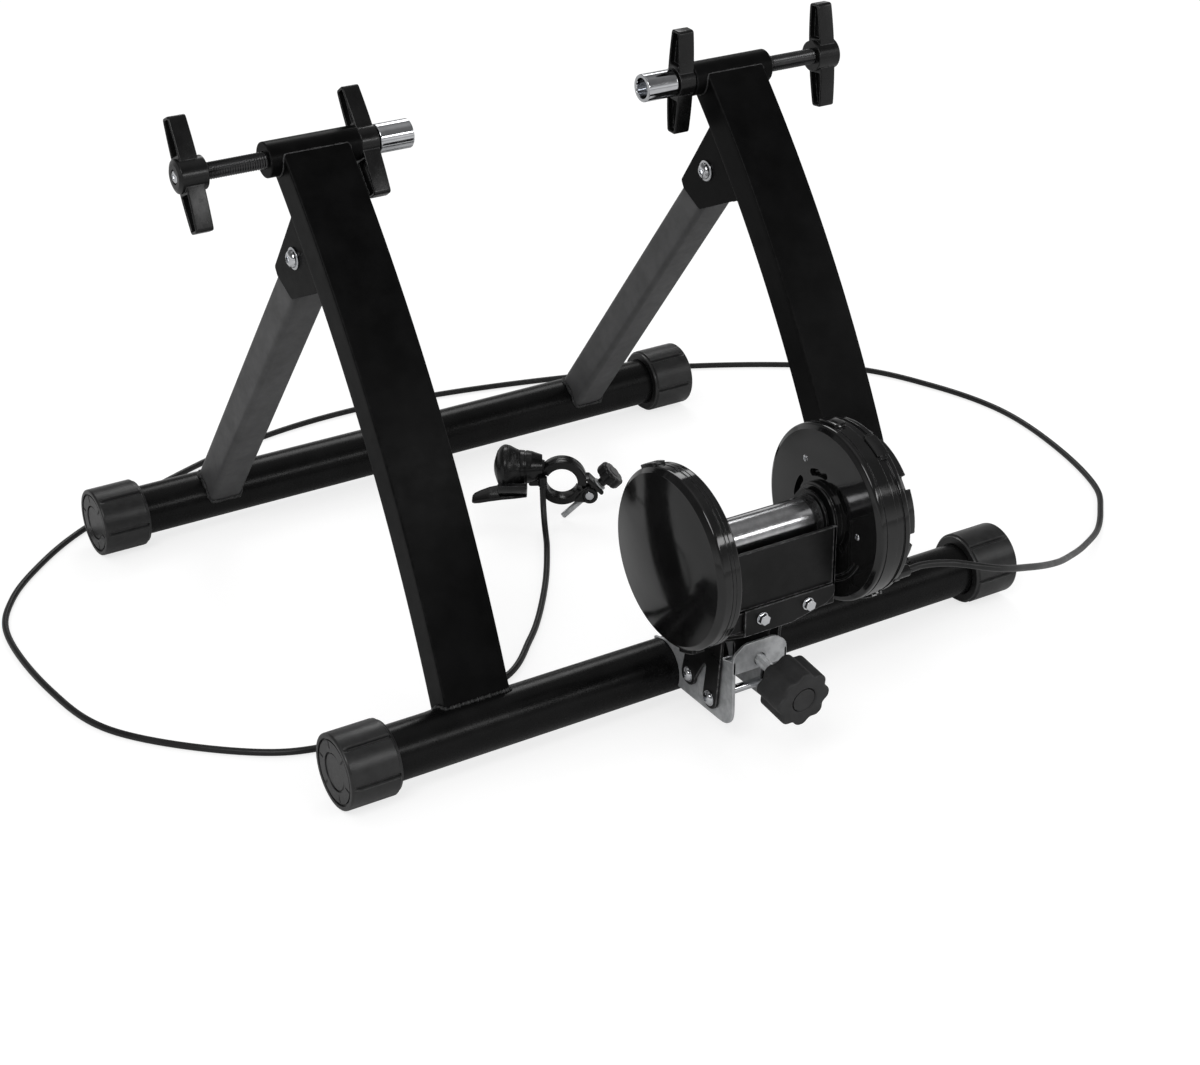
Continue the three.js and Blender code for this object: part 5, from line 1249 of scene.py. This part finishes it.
def build_dial(mesh):
    add_plate(mesh, [dial_outline(), circle(42, steps=120)], 76.9, 87.9, "x", 1.2, 4)
    add_plate(mesh, [circle(42.2, steps=120), circle(17, steps=72)], 77.2, 84.9, "x", 0.4)
    add_lathe(mesh, [(73.3, 0), (73.3, 17.4), (87.0, 17.4, 0.8), (87.6, 14, 0.4), (87.3, 0)], 96)
    for k in range(8):
        y, z = circle_point(1, 90 + 45 * (k + 0.7))
        place = Matrix(((1, 0, 0, 0), (0, y, -z, 0), (0, z, y, 0), (0, 0, 0, 1)))
        add_plate(mesh, [rectangle(16.5, 42.4, -0.8, 0.8, 0.2)], 84.5, 86.6, "x", 0.3, 2, place)


def make_unit():
    unit = shift(*UNIT_PLACE)
    for row in (("cradle_box", build_cradle, "edge_wear_highlight_black", "cradle", unit),
                ("bearing_cap_right", build_bearing, "matte", "bearing_right", unit),
                ("bearing_cap_left", build_bearing, "matte", "bearing_left", unit @ turn(180, "Z")),
                ("chrome_roller", build_roller, "roller", "roller", unit),
                ("left_dome_cover", build_flywheel_cover, "gloss", "flywheel_cover", unit),
                ("left_back_cover", build_flywheel_back, "gloss", "flywheel_back", unit),
                ("brake_face_cover", build_brake_inner, "gloss", "brake_inner_cover", unit),
                ("brake_back_cover", build_brake_outer, "gloss", "brake_outer_cover", unit),
                ("case_screws", build_case_screws, "chrome", None, unit, "roller_unit"),
                ("notched_dial", build_dial, "gloss", "resistance_dial", unit)):
        make_piece(*row)


# Shifter
SCREW_X = math.cos(THUMB_TILT)
SCREW_Z = math.sin(THUMB_TILT)
SWIVEL = (21.5, -11)
HINGE = (-17.4, 3)
RING_INNER_R = 12.3
RING_HALF = 6.4
BARREL_RISE = 12
EAR = (7.1, 10.2)


def along_screw(distance, off, corner=0):
    """A point of the shifter's ears: along the thumb screw from its swivel, and off its line."""
    x, z = SWIVEL
    return (x + SCREW_X * distance + SCREW_Z * off, z + SCREW_Z * distance - SCREW_X * off, corner)


def barrel_shape(x, r, angle):
    """Rows of small pips on the barrel's grip."""
    if r < 13.5 or x > -31:
        return x, r
    row = (x + 60) / 0.95
    across = 36 * angle / math.pi + (0.5 if round(row) % 2 else 0)
    pip = max(0.0, math.cos(2 * math.pi * across)) * max(0.0, math.cos(2 * math.pi * row))
    return x, r - 0.4 + 0.4 * pip


def build_shifter_body(mesh):
    bell = [(-53, 0), (-52.9, 2.6), (-52.4, 5.6), (-51.2, 9.4)]
    for k in range(66):
        x = -50.4 + 0.3 * k
        dome = 18 * math.sin(math.acos(min(1, max(0, (-43.5 - x) / 9.2))))
        waist = 17.9 - 4.6 * (0.5 - 0.5 * math.cos(math.pi * min(1, max(0, (x + 43.5) / 13))))
        bell.append((x, min(dome, waist)))
    neck = [(-30.2, 13.2), (-28.9, 13.2, 0.2), (-28.6, 12.6, 0.2), (-27.7, 12.6, 0.2), (-27.4, 13.1, 0.2),
            (-23.4, 12.4, 1), (-15.2, 9.6), (-15.2, 0)]
    add_lathe(mesh, bell + neck, 288, shift(0, 0, BARREL_RISE), barrel_shape)
    block = [(-26, -2, 2), (-13.3, -2), (-13.3, 15), (-26, 20, 2)]
    add_plate(mesh, [block], -RING_HALF, RING_HALF, "y", 1.0)
    add_plate(mesh, [ring_arc(RING_INNER_R, 19.2, 150, -8)], -RING_HALF, RING_HALF, "y", 1.1)
    add_plate(mesh, [ring_arc(15, 19.7, 140, 20)], -3.2, 3.2, "y", 0.8)
    near, far = EAR
    root = [along_screw(near, -14, 1), along_screw(near, -2.8), along_screw(far, -2.8),
            along_screw(far, -11, 1)]
    add_plate(mesh, [root], -RING_HALF, RING_HALF, "y", 0.6)
    ear = [along_screw(near, -3.4), along_screw(near, 6, 2), along_screw(far, 6, 2), along_screw(far, -3.4)]
    for start, end in ((-RING_HALF, -2.8), (2.8, RING_HALF)):
        add_plate(mesh, [ear], start, end, "y", 0.5)
    stop = [(0.2, CABLE_R), (0.2, 3.3, 0.3), (2.0, 3.6, 0.4), (2.3, 3.2), (3.3, 3.2), (3.6, 3.6, 0.3),
            (8, 3.6, 0.6), (8, 0)]
    add_lathe(mesh, stop, 48, shift(-15, -10, 0) @ turn(-90, "Y"))
    add_plate(mesh, [rectangle(-17.5, -12.5, -10, -5.4, 0.6)], 3.2, 8, "z", 0.5)


def build_jaw(mesh):
    middle = 15.35
    add_plate(mesh, [ring_arc(RING_INNER_R, 18.4, 196, 336)], -RING_HALF, RING_HALF, "y", 1.1)
    add_plate(mesh, [ring_arc(14.6, 18.9, 214, 318)], -3.2, 3.2, "y", 0.7)
    add_plate(mesh, [ring_arc(RING_INNER_R, 18.2, 174, 200)], -3, 3, "y", 0.5)
    add_plate(mesh, [circle(4.2, HINGE, 32)], -3, 3, "y", 0.5)
    arm = [circle_point(middle, -28), (19.5, -5.4, 1), (17.9, -11), (19.5, -16.6, 1),
           circle_point(18.2, -60), circle_point(middle, -50)]
    for start, end in ((-RING_HALF, -3.1), (3.1, RING_HALF)):
        add_plate(mesh, [circle(6.6, SWIVEL, 48), circle(3.7, SWIVEL, 32)], start, end, "y", 0.7)
        add_plate(mesh, [arm], start, end, "y", 0.5)


LEVER_ROOT = -27.5
# Along the lever's paddle: distance out, drop, half thickness, half width
PADDLE = [(0, 9.1, 1.75, 9), (0.3, 9.1, 1.8, 10), (10, 9.2, 2.2, 12), (20, 9.8, 2.8, 11.8),
          (30, 11.6, 3.2, 10.2), (37, 13.6, 3.1, 8.4), (41.5, 14.9, 2.5, 7.0), (43.1, 15.5, 1.5, 5.6),
          (43.5, 15.7, 0.5, 4)]


def build_lever(mesh):
    add_plate(mesh, [ring_arc(18.3, 21.5, 200, 340)], -50, LEVER_ROOT, "x", 1.0, 3, shift(0, 0, BARREL_RISE))
    rings = []
    for i in range(8 * (len(PADDLE) - 1) + 1):
        k, t = min(i // 8, len(PADDLE) - 2), (i - 8 * min(i // 8, len(PADDLE) - 2)) / 8
        out, drop, thick, wide = (a + (b - a) * t for a, b in zip(PADDLE[k], PADDLE[k + 1]))
        ring = []
        for j in range(32):
            c, s = circle_point(1, 360 * j / 32)
            ring.append(Vector((LEVER_ROOT - out, math.copysign(abs(c) ** 0.6, c) * wide,
                                -drop + math.copysign(abs(s) ** 0.75, s) * thick)))
        rings.append(ring)
    add_loft(mesh, rings, (True, True))


def build_thumb_knob(mesh):
    outline = []
    for k in range(144):
        angle = 360 * k / 144
        flute = (0.5 + 0.5 * math.cos(math.radians(9 * angle))) ** 4
        outline.append(Vector(circle_point(11 - 0.9 * flute, angle)))
    add_plate(mesh, [outline], 17.5, 26.5, "x", 2.2, 6)
    add_lathe(mesh, [(12.3, 2.8), (12.3, 3.6, 0.3), (17.9, 3.9, 0.5), (17.9, 2.8), (12.3, 2.8)], 48)
    add_lathe(mesh, [(26.2, 0), (26.2, 4.8), (26.9, 4.6, 0.3), (26.9, 0)], 48)


def make_shifter():
    place = shift(*RING_PLACE) @ Matrix.Rotation(RING_TURN, 4, "Z")
    hinge = place @ shift(HINGE[0], 0, HINGE[1])
    swivel = place @ shift(SWIVEL[0], 0, SWIVEL[1])
    screw = swivel @ Matrix.Rotation(-THUMB_TILT, 4, "Y")
    along = turn(90, "Z")
    barrel = [(-6.4, 0), (-6.4, 2.4, 0.3), (-6.4, 3.4, 0.5), (6.4, 3.4, 0.5), (6.4, 0)]
    pin = [(-6.5, 0), (-6.5, 1.6, 0.4), (6.5, 1.6, 0.4), (6.5, 0)]
    thread = lambda mesh: add_thread(mesh, 2.5, 0.8, -29.2, 21.7, sides=28)
    washer = lambda mesh: add_collar(mesh, 10.5, 11.7, 2.8, 5.4, 0.3)
    make_piece("shifter_housing", build_shifter_body, "grip", "shifter_body", place)
    make_piece("ring_jaw", build_jaw, "matte", "shifter_jaw", place)
    make_piece("thumb_lever", build_lever, "matte", "shifter_lever", place)
    make_piece("swivel_pin", turned(barrel, 48, along), "chrome", "jaw_swivel", swivel)
    make_piece("hinge_pin", turned(pin, 32, along), "chrome", "jaw_hinge_pin", hinge)
    make_piece("m5_screw", thread, "zinc", "thumb_screw", screw, smooth=75)
    make_piece("flat_washer", washer, "zinc", "thumb_washer", screw)
    make_piece("fluted_knob", build_thumb_knob, "matte", "thumb_knob", screw)


# Inner pieces keep their solids and get the scene's materials
INNER_PIECES = {"roller_shaft": "dark_steel", "flywheel": "dark_steel", "brake_rotor": "aluminium",
                "magnet_plate": "magnet"}


def dress_inner_pieces():
    for node, key in INNER_PIECES.items():
        data = frame["nodes"][node].data
        data.materials.clear()
        data.materials.append(MATERIALS[key])


bpy.context.scene.view_settings.view_transform = "Standard"
make_studio()
make_cable()
make_tubes_and_feet()
make_uprights()
make_legs()
make_clamps()
make_mount()
make_unit()
make_shifter()
dress_inner_pieces()
